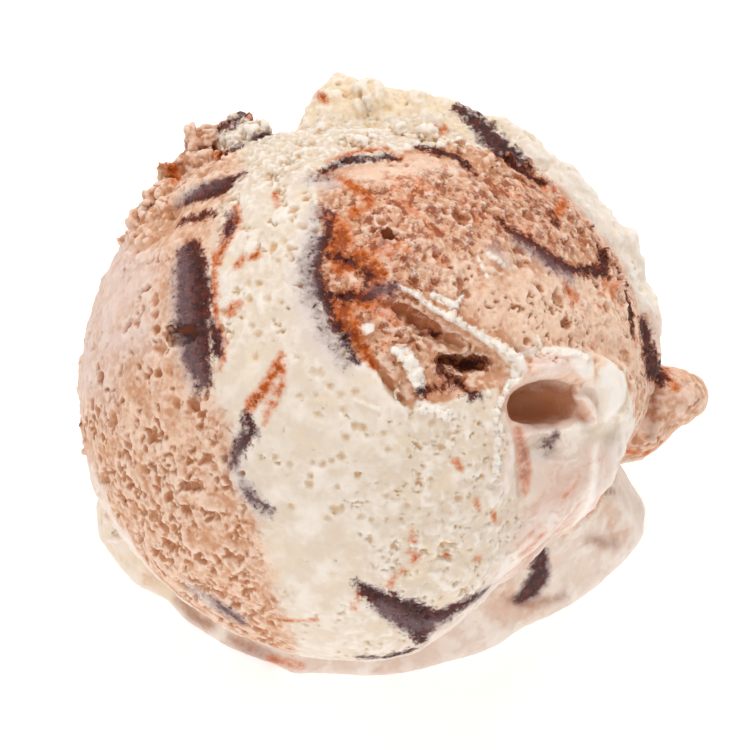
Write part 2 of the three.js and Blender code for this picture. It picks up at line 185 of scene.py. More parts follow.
# Darker streaks in the hollow.
HOLLOW_SMUDGES = [
    [(14.2, -1.9, 0.1), (16.4, -1.2, 0.5), (18.6, -1.0, 0.7), (20.2, -1.8, 0.5), (21.6, -2.4, 0.1)],
    [(15.6, 1.2, 0.1), (17.4, 0.9, 0.4), (18.8, 0.3, 0.4), (20.0, 0.6, 0.1)],
    [(14.4, -3.2, 0.1), (16.4, -2.9, 0.3), (18.4, -3.2, 0.1)],
]

# Ice bloom beside the dark ribbons.
FROST = [
    [(-17.8, 14.2, 0.5), (-17.8, 12.0, 1.3), (-17.6, 8.0, 1.4), (-17.0, 4.0, 1.3), (-16.0, 1.2, 1.0)],
    [(-4.8, 17.6, 0.8), (-5.4, 15.0, 0.9), (-6.0, 12.0, 1.3), (-5.8, 9.0, 1.4), (-4.6, 6.0, 1.3),
     (-2.4, 3.2, 1.0)],
    [(-5.6, 20.8, 0.8), (-3.8, 20.6, 1.0)],
    [(14.6, 15.0, 0.4), (17.6, 12.9, 0.7), (20.0, 11.4, 0.6)],
    [(-11.8, -3.6, 0.2), (-12.6, -6.4, 0.7), (-11.6, -8.6, 0.8), (-9.6, -11.2, 0.5)],
    [(-16.8, -19.0, 0.7), (-14.6, -20.4, 1.2), (-12.4, -21.8, 0.9)],
    [(1.6, -20.4, 0.7), (4.6, -22.4, 1.1), (7.6, -22.0, 0.7)],
    [(0.8, 10.0, 0.4), (2.4, 10.2, 0.5)],
    [(12.6, 13.8, 0.2), (13.8, 12.8, 0.3)],
    [(-17.8, 19.4, 1.1), (-16.0, 20.2, 1.0), (-14.2, 20.8, 0.6)],
    [(13.4, 25.8, 0.5), (16.2, 23.6, 0.6)],
    [(16.4, -4.4, 0.3), (18.2, -4.6, 0.4), (17.6, -5.8, 0.3)],
    [(24.0, -4.0, 0.2), (24.0, -8.0, 0.3), (23.6, -12.0, 0.2)],
]

# Fields of colour and of melting on the dome: outlines in mm, each with how softly it ends.
COCOA_FIELDS = [
    ([(-40, 26.0), (-12.6, 25.5), (-11.9, 22.0), (-14.0, 18.6), (-15.0, 14.0), (-15.2, 9.0), (-15.1, 1.2),
      (-13.4, -2.6), (-12.2, -6.2), (-11.8, -10.0), (-10.0, -12.4), (-9.2, -16.0), (-8.2, -20.0),
      (-7.0, -24.0), (-6.0, -40), (-40, -40)], 2.0),
    ([(-4.6, 21.6), (-2.4, 22.0), (0.5, 22.6), (4.0, 23.8), (9.0, 24.6), (12.0, 26.0), (20.0, 22.0),
      (26.0, 14.0), (29.0, 6.0), (28.8, -4.0), (26.2, -2.0), (25.6, 2.4), (22.6, 2.8), (22.4, -2.4),
      (19.0, -3.2), (14.2, -3.2), (13.2, -1.0), (12.6, 1.0), (9.0, -0.3), (4.4, -1.2), (2.2, 0.4),
      (0.6, 3.2), (-1.0, 3.8), (-3.4, 7.6), (-4.6, 11.0), (-4.0, 15.0), (-4.6, 17.8)], 0.35),
]
FLAP_FIELD = ([(26.4, 8.0), (60, 14.0), (60, -16.0), (25.4, -7.0)], 0.5)
CRUMB_FIELD = ([(-40, 16.0), (-14.0, 20.0), (-12.6, 24.0), (-30, 60.0), (-60, 30.0)], 0.6)
ROSE_FIELDS = [
    ([(12.8, 1.2), (13.4, -3.0), (13.4, -9.0), (15.8, -12.8), (11.6, -19.0), (4.0, -25.0), (14.0, -27.0),
      (30.0, -16.0), (30.0, -4.0), (24.0, -3.6), (17.0, -3.6)], 1.6),
    ([(13.6, 2.2), (14.4, 5.0), (18.6, 5.8), (22.4, 5.0), (21.0, 2.6), (17.0, 2.6)], 0.8),
    ([(-29.0, 18.0), (-21.0, 14.0), (-21.5, 4.0), (-26.0, 0.0), (-30.0, 0.0)], 2.5),
]
STAIN_FIELDS = [
    ([(-4.6, 21.0), (4.0, 21.6), (12.0, 22.0), (21.0, 20.0), (23.0, 14.0), (12.0, 12.6), (9.0, 8.4),
      (6.0, 4.0), (1.0, 3.4), (-3.4, 7.6), (-5.0, 11.0), (-4.0, 15.0)], 2.0),
    ([(20.0, 12.0), (27.0, 14.0), (28.0, 4.0), (23.0, 5.0)], 2.0),
]
PALE_FIELDS = [
    ([(13.0, 6.4), (14.0, 11.6), (20.0, 11.4), (24.6, 11.6), (28.4, 8.0), (28.6, 2.0), (22.0, 3.4),
      (15.6, 4.6)], 1.5),
    ([(-3.0, 20.4), (0.0, 22.4), (9.0, 22.6), (10.6, 20.6), (4.0, 20.2)], 1.0),
    ([(6.0, 13.0), (9.0, 8.6), (13.0, 9.0), (13.0, 14.0)], 1.5),
]
HOLLOW_FIELD = ([(13.4, 0.6), (15.6, 1.8), (18.8, 1.7), (20.6, 0.2), (21.8, -1.4), (21.6, -2.6),
                 (15.8, -3.0), (13.6, -2.8)], 0.8)
# Painted shade in the deep scrape below the long vanilla strand.
UMBER_FIELDS = [
    ([(7.2, 4.0), (9.4, 4.0), (12.0, 3.8), (11.8, 2.6), (9.0, 2.4), (7.4, 2.8)], 0.25),
]
MELT_FIELDS = [
    ([(13.2, 1.6), (13.6, -9.0), (15.6, -12.6), (11.6, -18.4), (6.0, -23.5), (8.0, -40), (40, -40),
      (40, -6.0), (24.0, -2.0), (16.0, 2.0)], 0.8),
    ([(-3.6, 22.2), (2.0, 22.2), (8.0, 22.4), (9.6, 21.8), (2.0, 21.0), (-2.0, 21.2)], 0.4),
    ([(13.4, 1.4), (16.0, 2.2), (19.4, 3.0), (21.0, 4.4), (24.0, 4.0), (25.8, 0.6), (24.6, -3.6),
      (13.4, -3.6)], 0.5),
]

# Vanilla strands, flakes and smears over the cocoa.
CREAM = [
    [(2.6, 10.7, 0.1), (4.8, 9.8, 0.2), (6.4, 8.4, 0.22), (8.0, 7.7, 0.3), (9.7, 6.6, 0.3),
     (11.2, 5.7, 0.35), (13.0, 4.6, 0.5), (14.6, 3.2, 0.8), (14.6, 2.0, 0.6), (13.4, 0.4, 0.2),
     (12.6, -1.4, 0.3), (12.8, -3.4, 0.4)],
    [(12.8, -3.8, 0.3), (12.7, -6.0, 0.4), (12.5, -8.6, 0.2)],
    [(8.2, 8.4, 0.15), (9.0, 9.0, 0.25), (9.4, 9.8, 0.1)],
    [(2.8, 4.4, 0.3), (3.9, 4.0, 0.6), (4.6, 2.6, 0.7), (5.2, 1.2, 0.6), (5.4, 0.2, 0.3)],
    [(-1.8, 5.6, 0.4), (0.5, 6.5, 0.45)],
    [(12.0, 13.6, 0.3), (13.4, 12.6, 0.2)],
    [(10.9, 13.2, 0.1), (11.8, 11.4, 0.15)],
    [(5.3, -1.0, 0.5), (8.2, -1.9, 0.6)],
    [(6.6, 9.6, 0.3), (8.6, 8.6, 0.35)],
    [(15.2, 4.0, 0.2), (16.6, 4.3, 0.3), (18.4, 4.4, 0.4), (20.2, 4.2, 0.4), (21.6, 3.6, 0.3)],
    [(17.0, 4.6, 0.2), (16.6, 5.8, 0.1)],
]
RIM_CREAM = [
    [(-13.6, 25.2, 1.1), (-11.6, 25.8, 1.5)],
    [(-11.0, 24.0, 1.2), (-8.0, 25.6, 1.2)],
]
# Vanilla that has melted smooth and bright round the hollow.
MILK = [
    [(20.4, 3.2, 0.5), (21.4, 2.6, 0.9)],
    [(23.9, 1.8, 1.2), (24.1, -0.2, 1.4), (23.8, -1.6, 1.1)],
    [(14.9, 3.0, 0.6), (14.9, 2.8, 0.6)],
    [(22.3, -5.3, 0.2), (22.0, -10.2, 0.3), (20.9, -12.3, 0.2), (17.0, -16.4, 0.1)],
    [(25.3, -4.5, 0.1), (25.3, -7.6, 0.1)],
]

# Pits that can be told apart, as (x, u, radius, depth).
PITS = [
    (-18.0, 5.8, 0.85, 0.9), (-17.3, 6.1, 0.6, 0.7), (-19.9, 4.5, 0.6, 0.5), (-16.5, -0.8, 0.65, 0.6),
    (-18.0, -0.6, 0.45, 0.3), (-24.5, -2.4, 0.7, 0.5), (-22.1, 7.0, 0.5, 0.35), (-26.0, 1.9, 0.6, 0.4),
    (-14.6, -6.8, 0.45, 0.4), (-17.4, -8.6, 0.4, 0.45), (-16.8, -8.6, 0.45, 0.5), (-16.2, -8.6, 0.4, 0.45),
    (-12.6, -17.7, 0.3, 0.4), (-17.2, -16.4, 0.4, 0.35), (-14.7, -17.1, 0.35, 0.35),
    (-19.5, -12.8, 0.55, 0.4), (-18.7, -14.7, 0.4, 0.35), (-23.8, -10.2, 0.7, 0.4),
    (-20.5, -11.8, 0.6, 0.4), (-20.4, 9.2, 0.5, 0.4), (-20.3, 7.9, 0.45, 0.4), (-20.3, 6.6, 0.4, 0.35),
    (2.2, 15.5, 0.55, 1.1), (1.7, 16.5, 0.3, 0.4), (9.3, 17.2, 0.8, 0.7), (6.9, 13.5, 0.4, 0.4),
    (7.6, 13.0, 0.45, 0.5), (9.3, 10.9, 0.6, 0.6), (9.6, 9.9, 0.55, 0.6), (16.9, 10.3, 0.35, 0.5),
    (18.6, 9.6, 0.6, 0.6), (18.9, 8.9, 0.5, 0.5), (19.6, 6.9, 0.6, 0.7), (23.6, 8.6, 0.5, 0.4),
    (15.6, 5.2, 0.4, 0.4), (22.4, 3.9, 0.5, 0.6), (14.5, 4.0, 0.6, 0.4), (13.7, 20.6, 0.5, 0.4),
    (21.4, 16.0, 0.8, 0.5), (16.0, 17.6, 0.6, 0.5), (-6.9, 17.8, 0.45, 0.5), (-5.6, 19.0, 0.35, 0.5),
    (-11.8, -7.5, 0.3, 0.6), (-4.8, 2.4, 0.35, 0.2), (-4.2, 2.3, 0.35, 0.2), (-3.3, 0.9, 0.3, 0.2),
    (-2.3, 0.1, 0.3, 0.2), (-0.8, 0.4, 0.3, 0.2), (-6.1, 0.1, 0.25, 0.2), (-4.7, 0.1, 0.25, 0.2),
    (-2.1, -1.4, 0.3, 0.2), (-4.4, -1.8, 0.3, 0.2), (-0.8, -2.8, 0.35, 0.25), (-0.2, -2.9, 0.35, 0.25),
    (1.9, -3.5, 0.25, 0.2), (-1.7, -3.9, 0.3, 0.2), (2.1, -5.1, 0.25, 0.2), (-2.2, -5.7, 0.35, 0.25),
    (-3.1, -6.1, 0.25, 0.2), (-4.0, -6.5, 0.3, 0.25), (-4.9, -6.3, 0.25, 0.2), (-7.1, -6.6, 0.3, 0.2),
    (-5.2, -7.6, 0.3, 0.25), (-5.2, -8.4, 0.3, 0.25), (-0.8, -7.7, 0.3, 0.2), (-2.6, -8.6, 0.25, 0.2),
    (-7.0, -10.6, 0.3, 0.2), (-3.5, -11.6, 0.25, 0.2), (-2.8, -10.8, 0.4, 0.3), (-2.2, -10.8, 0.35, 0.3),
    (2.2, -9.5, 0.25, 0.2), (-0.4, -11.5, 0.25, 0.2), (0.7, -11.8, 0.25, 0.2), (-8.5, -5.8, 0.3, 0.25),
    (7.3, -4.9, 0.3, 0.25), (9.0, -3.5, 0.3, 0.25), (8.1, -3.9, 0.3, 0.25), (4.4, -2.1, 0.25, 0.2),
    (6.4, -2.5, 0.3, 0.25), (4.3, -5.2, 0.25, 0.2), (6.2, -7.8, 0.25, 0.2), (9.1, -9.8, 0.35, 0.3),
    (4.2, -10.5, 0.25, 0.2), (-8.7, 14.5, 0.35, 0.3), (-7.7, 14.8, 0.3, 0.3), (-7.2, 14.0, 0.3, 0.3),
    (-7.0, 13.0, 0.3, 0.35), (-8.3, 13.0, 0.25, 0.25), (-10.2, 10.8, 0.3, 0.25), (-11.0, 9.2, 0.35, 0.3),
    (-11.2, 10.7, 0.3, 0.25), (-13.6, 8.0, 0.3, 0.3), (-13.7, 6.5, 0.3, 0.3), (-12.8, 5.6, 0.25, 0.25),
    (-10.2, 5.9, 0.3, 0.25), (-10.7, 6.7, 0.3, 0.25), (-9.1, 9.2, 0.3, 0.25), (-10.3, 3.7, 0.35, 0.25),
    (-4.8, 15.7, 0.35, 0.4), (-6.0, 16.2, 0.4, 0.4),
]

# Thin rolls and slivers laid on the skin: (x, u, half width) along each, and how far they stand off.
SLIVERS = [
    ([(3.0, 10.4, 0.1), (4.8, 9.7, 0.16), (6.4, 8.3, 0.18), (8.0, 7.6, 0.24), (9.7, 6.5, 0.24),
      (11.2, 5.5, 0.28), (13.0, 4.4, 0.35), (14.4, 3.4, 0.6), (14.9, 2.8, 0.65), (14.9, 2.2, 0.4)], 0.25),
    ([(8.2, 8.4, 0.14), (9.0, 9.0, 0.2), (9.4, 9.8, 0.12)], 0.15),
    ([(14.0, 1.2, 0.2), (13.0, -0.2, 0.24), (12.6, -1.4, 0.26), (12.6, -3.0, 0.3), (13.2, -3.9, 0.2)], 0.1),
    ([(6.0, 3.6, 0.1), (6.8, 2.8, 0.2), (7.2, 1.8, 0.1)], 0.1),
    ([(10.6, 2.0, 0.1), (11.6, 1.2, 0.2), (12.0, 0.2, 0.1)], 0.1),
    ([(4.6, 5.8, 0.1), (5.6, 5.0, 0.18), (6.2, 4.4, 0.1)], 0.1),
    ([(2.8, 4.4, 0.2), (3.9, 4.0, 0.5), (4.6, 2.6, 0.6), (5.2, 1.2, 0.5), (5.4, 0.2, 0.25)], 0.1),
    ([(-1.6, 5.8, 0.2), (-0.5, 6.2, 0.4), (0.5, 6.5, 0.25)], 0.12),
    ([(3.2, 4.6, 0.2), (3.9, 3.6, 0.25), (4.3, 2.9, 0.2)], 0.3),
    ([(5.1, -0.9, 0.25), (6.8, -1.3, 0.5), (8.3, -1.9, 0.35)], 0.15),
    ([(12.7, -3.8, 0.25), (12.6, -5.8, 0.42), (12.3, -8.0, 0.22)], 0.1),
    ([(3.4, 1.6, 0.12), (3.0, 0.4, 0.16), (3.6, -0.4, 0.12)], 0.15),
    ([(23.4, 2.4, 0.8), (23.9, 1.2, 1.4), (24.1, -0.4, 1.6), (23.8, -1.8, 1.1)], 0.0),
    ([(19.8, 3.5, 0.4), (20.9, 2.9, 0.9), (21.5, 2.0, 0.5)], 0.0),
    ([(-9.4, 21.4, 0.3), (-7.6, 21.9, 0.45), (-5.8, 22.4, 0.3)], 0.1),
    ([(11.2, 12.4, 0.2), (12.4, 11.9, 0.35), (13.2, 11.4, 0.2)], 0.1),
    ([(14.0, 9.2, 0.16), (15.0, 8.4, 0.26), (16.2, 8.2, 0.16)], 0.1),
    ([(-1.2, -0.2, 0.1), (0.4, -1.0, 0.16), (1.4, -1.2, 0.1)], 0.05),
]

# Crumbs that stand on the dome's edge: place x, u, w and radius.
CRUMBS = [
    (-16.3, 25.1, 2.0, 1.7), (-13.2, 25.0, 3.2, 1.7), (-11.2, 25.2, 4.6, 1.5), (-16.2, 22.9, 4.4, 1.7),
    (-18.9, 22.2, 1.6, 1.5), (-14.4, 23.2, 6.4, 1.1), (-12.4, 26.6, 1.6, 1.1), (-20.9, 19.4, 3.6, 1.2),
    (-19.2, 20.2, 4.6, 1.2), (-22.4, 17.4, 3.0, 1.1), (-20.8, 17.4, 7.0, 1.2), (-18.6, 18.0, 10.0, 0.9),
    (-24.0, 15.0, 2.4, 0.7), (-11.7, 28.0, 1.6, 0.4),
]
# Smaller crumbs strewn along the edge: bearings in degrees, distances from the axis, count, radii.
STREWN = [
    ((112, 150), (26.6, 28.4), 10, (0.4, 0.9)),
    ((60, 112), (24.2, 26.6), 18, (0.5, 1.2)),
    ((8, 60), (25.6, 28.2), 22, (0.4, 0.9)),
    ((186, 215), (27.8, 28.7), 6, (0.3, 0.6)),
]

# Scrapes and hollows dug into the skin: (x, u, half width) along each, and the depth.
GOUGES = [
    ([(1.6, 8.9, 0.3), (3.2, 8.4, 0.6), (5.0, 7.4, 0.7), (6.6, 6.5, 0.4)], 0.6),
    ([(6.9, 6.0, 0.4), (8.4, 5.5, 0.6), (9.8, 4.9, 0.5), (11.0, 4.2, 0.3)], 0.6),
    ([(0.8, 3.4, 0.2), (1.8, 2.0, 0.4), (3.0, 0.3, 0.3), (3.9, -0.8, 0.2)], 0.6),
    ([(7.4, 3.4, 0.4), (9.4, 3.2, 0.6), (11.4, 3.2, 0.4)], 1.0),
    ([(8.2, 2.0, 0.3), (9.4, 1.2, 0.35), (10.4, 0.3, 0.25)], 0.4),
    ([(-18.6, 5.6, 0.5), (-17.0, 6.2, 0.7)], 0.9),
    ([(-17.6, -8.6, 0.3), (-16.0, -8.6, 0.35)], 0.6),
    ([(2.1, 15.5, 0.4), (2.3, 15.5, 0.4)], 1.3),
]

# Folds where the melted skin sagged: strokes with their height, which is under 0 in a groove.
FOLDS = [
    ([(22.3, -5.0, 0.5), (22.0, -10.0, 0.6), (20.4, -13.0, 0.6), (16.4, -16.8, 0.5),
      (11.4, -20.8, 0.4)], 0.45),
    ([(25.2, -4.4, 0.3), (25.1, -8.6, 0.4), (23.6, -12.8, 0.4), (19.6, -16.6, 0.4)], 0.4),
    ([(23.8, -4.2, 0.6), (23.7, -9.5, 0.5), (22.2, -12.8, 0.4)], -0.4),
    ([(20.2, -8.4, 0.3), (18.8, -11.4, 0.4), (16.2, -14.2, 0.3)], 0.35),
    ([(13.8, -3.9, 0.3), (13.8, -6.2, 0.4), (13.4, -8.8, 0.3)], 0.35),
    ([(14.8, -4.0, 0.2), (15.1, -6.0, 0.3), (15.2, -9.4, 0.2)], -0.5),
    ([(14.6, -1.2, 0.9), (18.0, -0.6, 1.3), (21.0, -1.2, 1.1)], -0.2),
    ([(14.6, -3.3, 0.3), (17.5, -3.1, 0.3), (20.6, -2.9, 0.3)], 0.4),
    ([(16.2, -4.9, 0.8), (18.4, -5.0, 0.8)], -0.6),
    ([(22.5, 3.5, 0.1), (22.5, 1.6, 0.2)], -0.4),
    ([(15.6, 3.4, 0.4), (19.0, 4.8, 0.9), (22.4, 5.4, 0.9), (25.6, 3.9, 0.6)], -0.4),
    ([(20.6, 0.2, 0.3), (21.6, -1.0, 0.7), (22.2, -2.0, 0.4)], 1.2),
]

# Ragged pits: how far apart and how deep; the share of the skin they take is set by zone.
LEFT_PITS = {"length": 1.4, "depth": 0.52, "seed": 11}
LEFT_FINE_PITS = {"length": 0.8, "depth": 0.17, "seed": 17}
BROWN_PITS = {"length": 0.9, "depth": 0.42, "seed": 23}
CREAM_PITS = {"length": 0.8, "depth": 0.38, "seed": 37}
TORN_PITS = {"length": 1.6, "depth": 0.6, "seed": 41}
VANILLA_STEP = 0.16  # mm that the vanilla stands above the cocoa where one tore from the other

# How the pits that can be told apart are sunk.
PIT_SEARCH = 1.8  # radii round a pit's middle in which the skin is sunk
PIT_REACH = 1.35  # radii from its middle to its rim, where the rim is not ragged
PIT_GAIN = 1.1  # depth at its middle against the depth that PITS gives
PIT_STEEPNESS = 0.8  # power of the bowl: the lower, the steeper its side
PIT_RAGGEDNESS = 0.45  # how far its rim strays, against its radius
PIT_RIM_LENGTH = 0.45  # mm between the notches of its rim

# Marks that the material reads: strokes on the dome and past it, then how many run over the hidden
# side and their half width in mm.
MARKS = (
    ("ribbon", RIBBONS, RIM_RIBBONS, 22, 1.0),
    ("rust", RUST, RIM_RUST, 30, 0.5),
)
HIDDEN_STEPS = 7  # points along each mark on the hidden side
HIDDEN_STRIDE = 0.13  # from one to the next, in radii of the ball
HIDDEN_SWERVE = 0.7  # how strongly each step turns

# Shares stored on the skin's vertices for the material.
SHARE_FIELDS = (
    "cocoa", "stain", "rose", "umber", "pale", "melt", "crest", "strand", "milk", "streak", "clump",
)

MERGE_REACH = 0.001 * MM  # between corners of the solid's loose triangles that are one
SMOOTHING = 0.5  # how far a smoothing pass moves each vertex towards its neighbours
SKIN_SMOOTHING = 2  # passes before the relief, which take off the steps of the voxels
RELIEF_SMOOTHING = 1  # passes after the relief, which take off its spikes
EVENING_PASSES = 12  # over neighbouring vertices, for the surface that hollows are measured from
# Steep walls count as hollow, so that they take the painted pit shade too.
SLOPE_SHADE = 0.22  # mm of hollow that a wall square to that surface counts for
CUT_REACH = 0.01  # mm from the cut within which a face belongs to it
STROKE_MARGIN = 1.5  # mm round a stroke, beyond its reach, in which its depth is worked out

# Seeds of the noises and the draws, so that every run gives the same scoop.
SEEDS = {
    "crumbs": 7, "hidden marks": 8, "near": 51, "far": 131, "swirl": 71, "clump": 91, "streak": 101,
    "coarse": 83, "fine": 87, "scrape": 97, "pit rim": 113,
}


# ---------------------------------------------------------------------------------------------
# Colours: sRGB as a maker would name them, turned to linear for the shaders.

def linear(hex_code):
    values = [int(hex_code[i:i + 2], 16) / 255 for i in (1, 3, 5)]
    return tuple(v / 12.92 if v <= 0.04045 else ((v + 0.055) / 1.055) ** 2.4 for v in values)


def colour_property(name, description, hex_code):
    return FloatVectorProperty(
        name=name, description=description, subtype="COLOR", size=3, min=0.0, max=1.0,
        default=linear(hex_code))


class ScoopColours(bpy.types.PropertyGroup):
    vanilla: colour_property("Vanilla", "Vanilla ice cream", "#E2D0BC")
    custard: colour_property("Custard", "Yellower vanilla, where it is drier", "#F2DDBE")
    cocoa: colour_property("Cocoa", "Milk chocolate ice cream", "#CF9875")
    cocoa_pale: colour_property("Pale cocoa", "Where cocoa and vanilla run together", "#F0CDB2")
    stain: colour_property("Stain", "Chocolate that has bled into the cocoa", "#8F4426")
    # The next three colours are painted shade, laid into the pits and tiny pits of the stained cocoa, the
    # plain cocoa and the vanilla.
    crumb: colour_property("Crumb", "Shade in the pits of the stained cocoa", "#B06840")
    shade: colour_property("Shade", "Shade in the pits of the plain cocoa", "#BF8159")
    pore_shade: colour_property("Pore", "Shade in the pores of the vanilla", "#D9B07E")
    # Umber is melted cocoa, and also painted shade: in the deep pits of the bloom, in the deep scrape below
    # the long vanilla strand and in the crease under the dome's overhang.
    umber: colour_property("Umber", "Melted cocoa in the hollow, the smudges and the bloom's pits", "#96552F")
    ribbon: colour_property("Ribbon", "Dark chocolate ribbon", "#361618")
    ribbon_edge: colour_property("Ribbon edge", "Redder chocolate at a ribbon's edge", "#6A2A1F")
    rust: colour_property("Rust", "Where a ribbon bleeds into the ice cream", "#D06818")
    rust_deep: colour_property("Deep rust", "The middle of a rusty mark", "#A04A1C")
    frost: colour_property("Frost", "Ice bloom beside a ribbon", "#E0D1C8")
    frost_deep: colour_property("Deep frost", "Ice bloom with chocolate showing through", "#7C6266")
    milk: colour_property("Milk", "Vanilla melted bright", "#F8EEE3")
    # Glint is a painted highlight on the raised grains.
    glint: colour_property("Glint", "Raised grains, worn pale", "#FFF9F4")
    rose: colour_property("Rose", "Melted skin", "#E9D0C4")
    floor: colour_property("Floor", "Matt white floor", "#FFFFFF")


def length_property(name, description, metres, **limits):
    return FloatProperty(
        name=name, description=description, unit="LENGTH", subtype="DISTANCE", default=metres, **limits)


class ScoopSizes(bpy.types.PropertyGroup):
    core_grain: length_property(
        "Core grain", "Voxel that evens out the solid's facets", 0.42 * MM, min=0.2 * MM)
    skin_grain: length_property("Skin grain", "Voxel of the fine skin", 0.17 * MM, min=0.1 * MM)
    core_smoothing: IntProperty(
        name="Core smoothing", description="Passes that even out the core", default=6, min=0)
    triangles: IntProperty(
        name="Triangles", description="Triangles of each half of the skin", default=196000, min=1000)
    camera_distance: length_property("Camera distance", "From the scoop to the camera", 0.6)
    frame_width: length_property("Frame width", "Width of the view at the scoop", 75 * MM)
    camera_elevation: FloatProperty(
        name="Camera elevation", description="Of the camera above the table", unit="ROTATION",
        subtype="ANGLE", default=math.radians(60))


# ---------------------------------------------------------------------------------------------
# Places and noise, worked on many points at once, in mm.

def dome_places(points):
    """x, u and w in mm of points given in metres."""
    place = points / MM - BALL_CENTRE
    return np.stack([place @ RIGHT, place @ UP_FACE, place @ DOME_AXIS], axis=1)


def world_place(x, u, w):
    return (BALL_CENTRE + x * RIGHT + u * UP_FACE + w * DOME_AXIS) * MM


def ball_depth(x, u):
    return math.sqrt(max(0.0, BALL_RADIUS ** 2 - x * x - u * u))


def smoothstep(low, high, value):
    share = np.clip((value - low) / (high - low), 0.0, 1.0)
    return share * share * (3 - 2 * share)


def gradient_noise(points, seed):
    """Smooth noise of about -1 to 1, with lumps about one unit across."""
    cell = np.floor(points).astype(np.int64)
    inside = points - cell
    fade = inside ** 3 * (inside * (inside * 6 - 15) + 10)
    total = np.zeros(len(points))
    for corner in np.ndindex(2, 2, 2):
        key = cell + corner
        # A hash of the corner, which gives its slope along each axis.
        mixed = (key[:, 0] * 73856093) ^ (key[:, 1] * 19349663) ^ (key[:, 2] * 83492791) ^ (seed * 2654435761)
        mixed = (mixed ^ (mixed >> 13)) * 1274126177
        mixed = mixed ^ (mixed >> 16)
        slopes = np.stack([(mixed >> shift) & 1023 for shift in (0, 10, 20)], axis=1) / 511.5 - 1.0
        weight = np.prod(np.where(corner, fade, 1 - fade), axis=1)
        total += weight * np.sum(slopes * (inside - corner), axis=1)
    return total * 1.6


def layered_noise(points, length, seed, octaves=3, roughness=0.5):
    total = np.zeros(len(points))
    share = 1.0
    for octave in range(octaves):
        total += share * gradient_noise(points / length * 2.03 ** octave + 17.7 * octave, seed + octave)
        share *= roughness
    return total


def stroke_depth(places, strokes, reach=3.0):
    """How far each place lies inside the nearest stroke, in mm: over 0 inside, down to -reach."""
    best = np.full(len(places), reach)
    for stroke in strokes:
        points = np.array([point[:-1] for point in stroke])
        widths = [point[-1] for point in stroke]
        for start, end, start_width, end_width in zip(points, points[1:], widths, widths[1:]):
            span = np.abs(end - start) / 2 + reach + STROKE_MARGIN
            near = np.all(np.abs(places - (start + end) / 2) < span, axis=1)
            local = places[near] - start
            along = end - start
            share = np.clip(local @ along / (along @ along), 0, 1)
            gap = np.linalg.norm(local - share[:, None] * along, axis=1)
            gap = gap - start_width - share * (end_width - start_width)
            best[near] = np.minimum(best[near], gap)
    return -best


def seen_on_ball(place):
    """Places moved onto the ball: along the dome's axis where they face out, else along its radius."""
    ball = place * (BALL_RADIUS / np.linalg.norm(place, axis=1))[:, None]
    facing = smoothstep(6, 12, place[:, 2])[:, None]
    flat = ball[:, :2] + (place[:, :2] - ball[:, :2]) * facing
    depth = np.sqrt(np.maximum(BALL_RADIUS ** 2 - np.sum(flat ** 2, axis=1), 0)) * np.sign(place[:, 2])
    return np.column_stack([flat, depth])


def on_ball(strokes):
    """Strokes of (x, u, half width), with the ball's depth added at each point."""
    return [[(x, u, ball_depth(x, u), width) for x, u, width in stroke] for stroke in strokes]


def field_share(x, u, fields):
    """1 inside any of the outlines, 0 outside, eased over each one's softness."""
    total = np.zeros(len(x))
    for outline, softness in fields:
        corners = np.array(outline, dtype=float)
        ends = np.roll(corners, -1, axis=0)
        inside = np.zeros(len(x), dtype=bool)
        gap = np.full(len(x), 1e9)
        for (ax, ay), (bx, by) in zip(corners, ends):
            crosses = (ay > u) != (by > u)
            slope = (bx - ax) / (by - ay) if by != ay else 0.0
            inside ^= crosses & (x < ax + (u - ay) * slope)
            length = (bx - ax) ** 2 + (by - ay) ** 2
            share = np.clip(((x - ax) * (bx - ax) + (u - ay) * (by - ay)) / length, 0, 1)
            gap = np.minimum(gap, np.hypot(x - ax - share * (bx - ax), u - ay - share * (by - ay)))
        total = np.maximum(total, smoothstep(-softness, softness, np.where(inside, gap, -gap)))
    return total


# ---------------------------------------------------------------------------------------------
# Mesh work.

def deselect_all():
    if bpy.context.object and bpy.context.object.mode != "OBJECT":
        bpy.ops.object.mode_set(mode="OBJECT")
    bpy.ops.object.select_all(action="DESELECT")


def select_only(piece):
    deselect_all()
    piece.select_set(True)
    bpy.context.view_layer.objects.active = piece


def apply_modifier(piece, kind, **settings):
    select_only(piece)
    modifier = piece.modifiers.new(kind.title(), kind)
    for name, value in settings.items():
        setattr(modifier, name, value)
    bpy.ops.object.modifier_apply(modifier=modifier.name)


@contextmanager
def edit_mode(piece):
    select_only(piece)
    bpy.ops.object.mode_set(mode="EDIT")
    yield
    bpy.ops.object.mode_set(mode="OBJECT")


def remesh(piece, grain):
    apply_modifier(piece, "REMESH", mode="VOXEL", voxel_size=grain)


def smooth(piece, passes):
    apply_modifier(piece, "SMOOTH", factor=SMOOTHING, iterations=passes)


def mesh_points(piece):
    points = np.empty(len(piece.data.vertices) * 3, dtype=np.float32)
    piece.data.vertices.foreach_get("co", points)
    return points.reshape(-1, 3).astype(float)


def mesh_normals(piece):
    normals = np.empty(len(piece.data.vertices) * 3, dtype=np.float32)
    piece.data.vertex_normals.foreach_get("vector", normals)
    return normals.reshape(-1, 3).astype(float)


def mesh_edges(piece):
    edges = np.empty(len(piece.data.edges) * 2, dtype=np.int32)
    piece.data.edges.foreach_get("vertices", edges)
    return edges.reshape(-1, 2)


def set_points(piece, points):
    piece.data.vertices.foreach_set("co", points.astype(np.float32).ravel())
    piece.data.update()


def set_attribute(piece, name, values):
    attribute = piece.data.attributes.new(name, "FLOAT", "POINT")
    attribute.data.foreach_set("value", values.astype(np.float32))


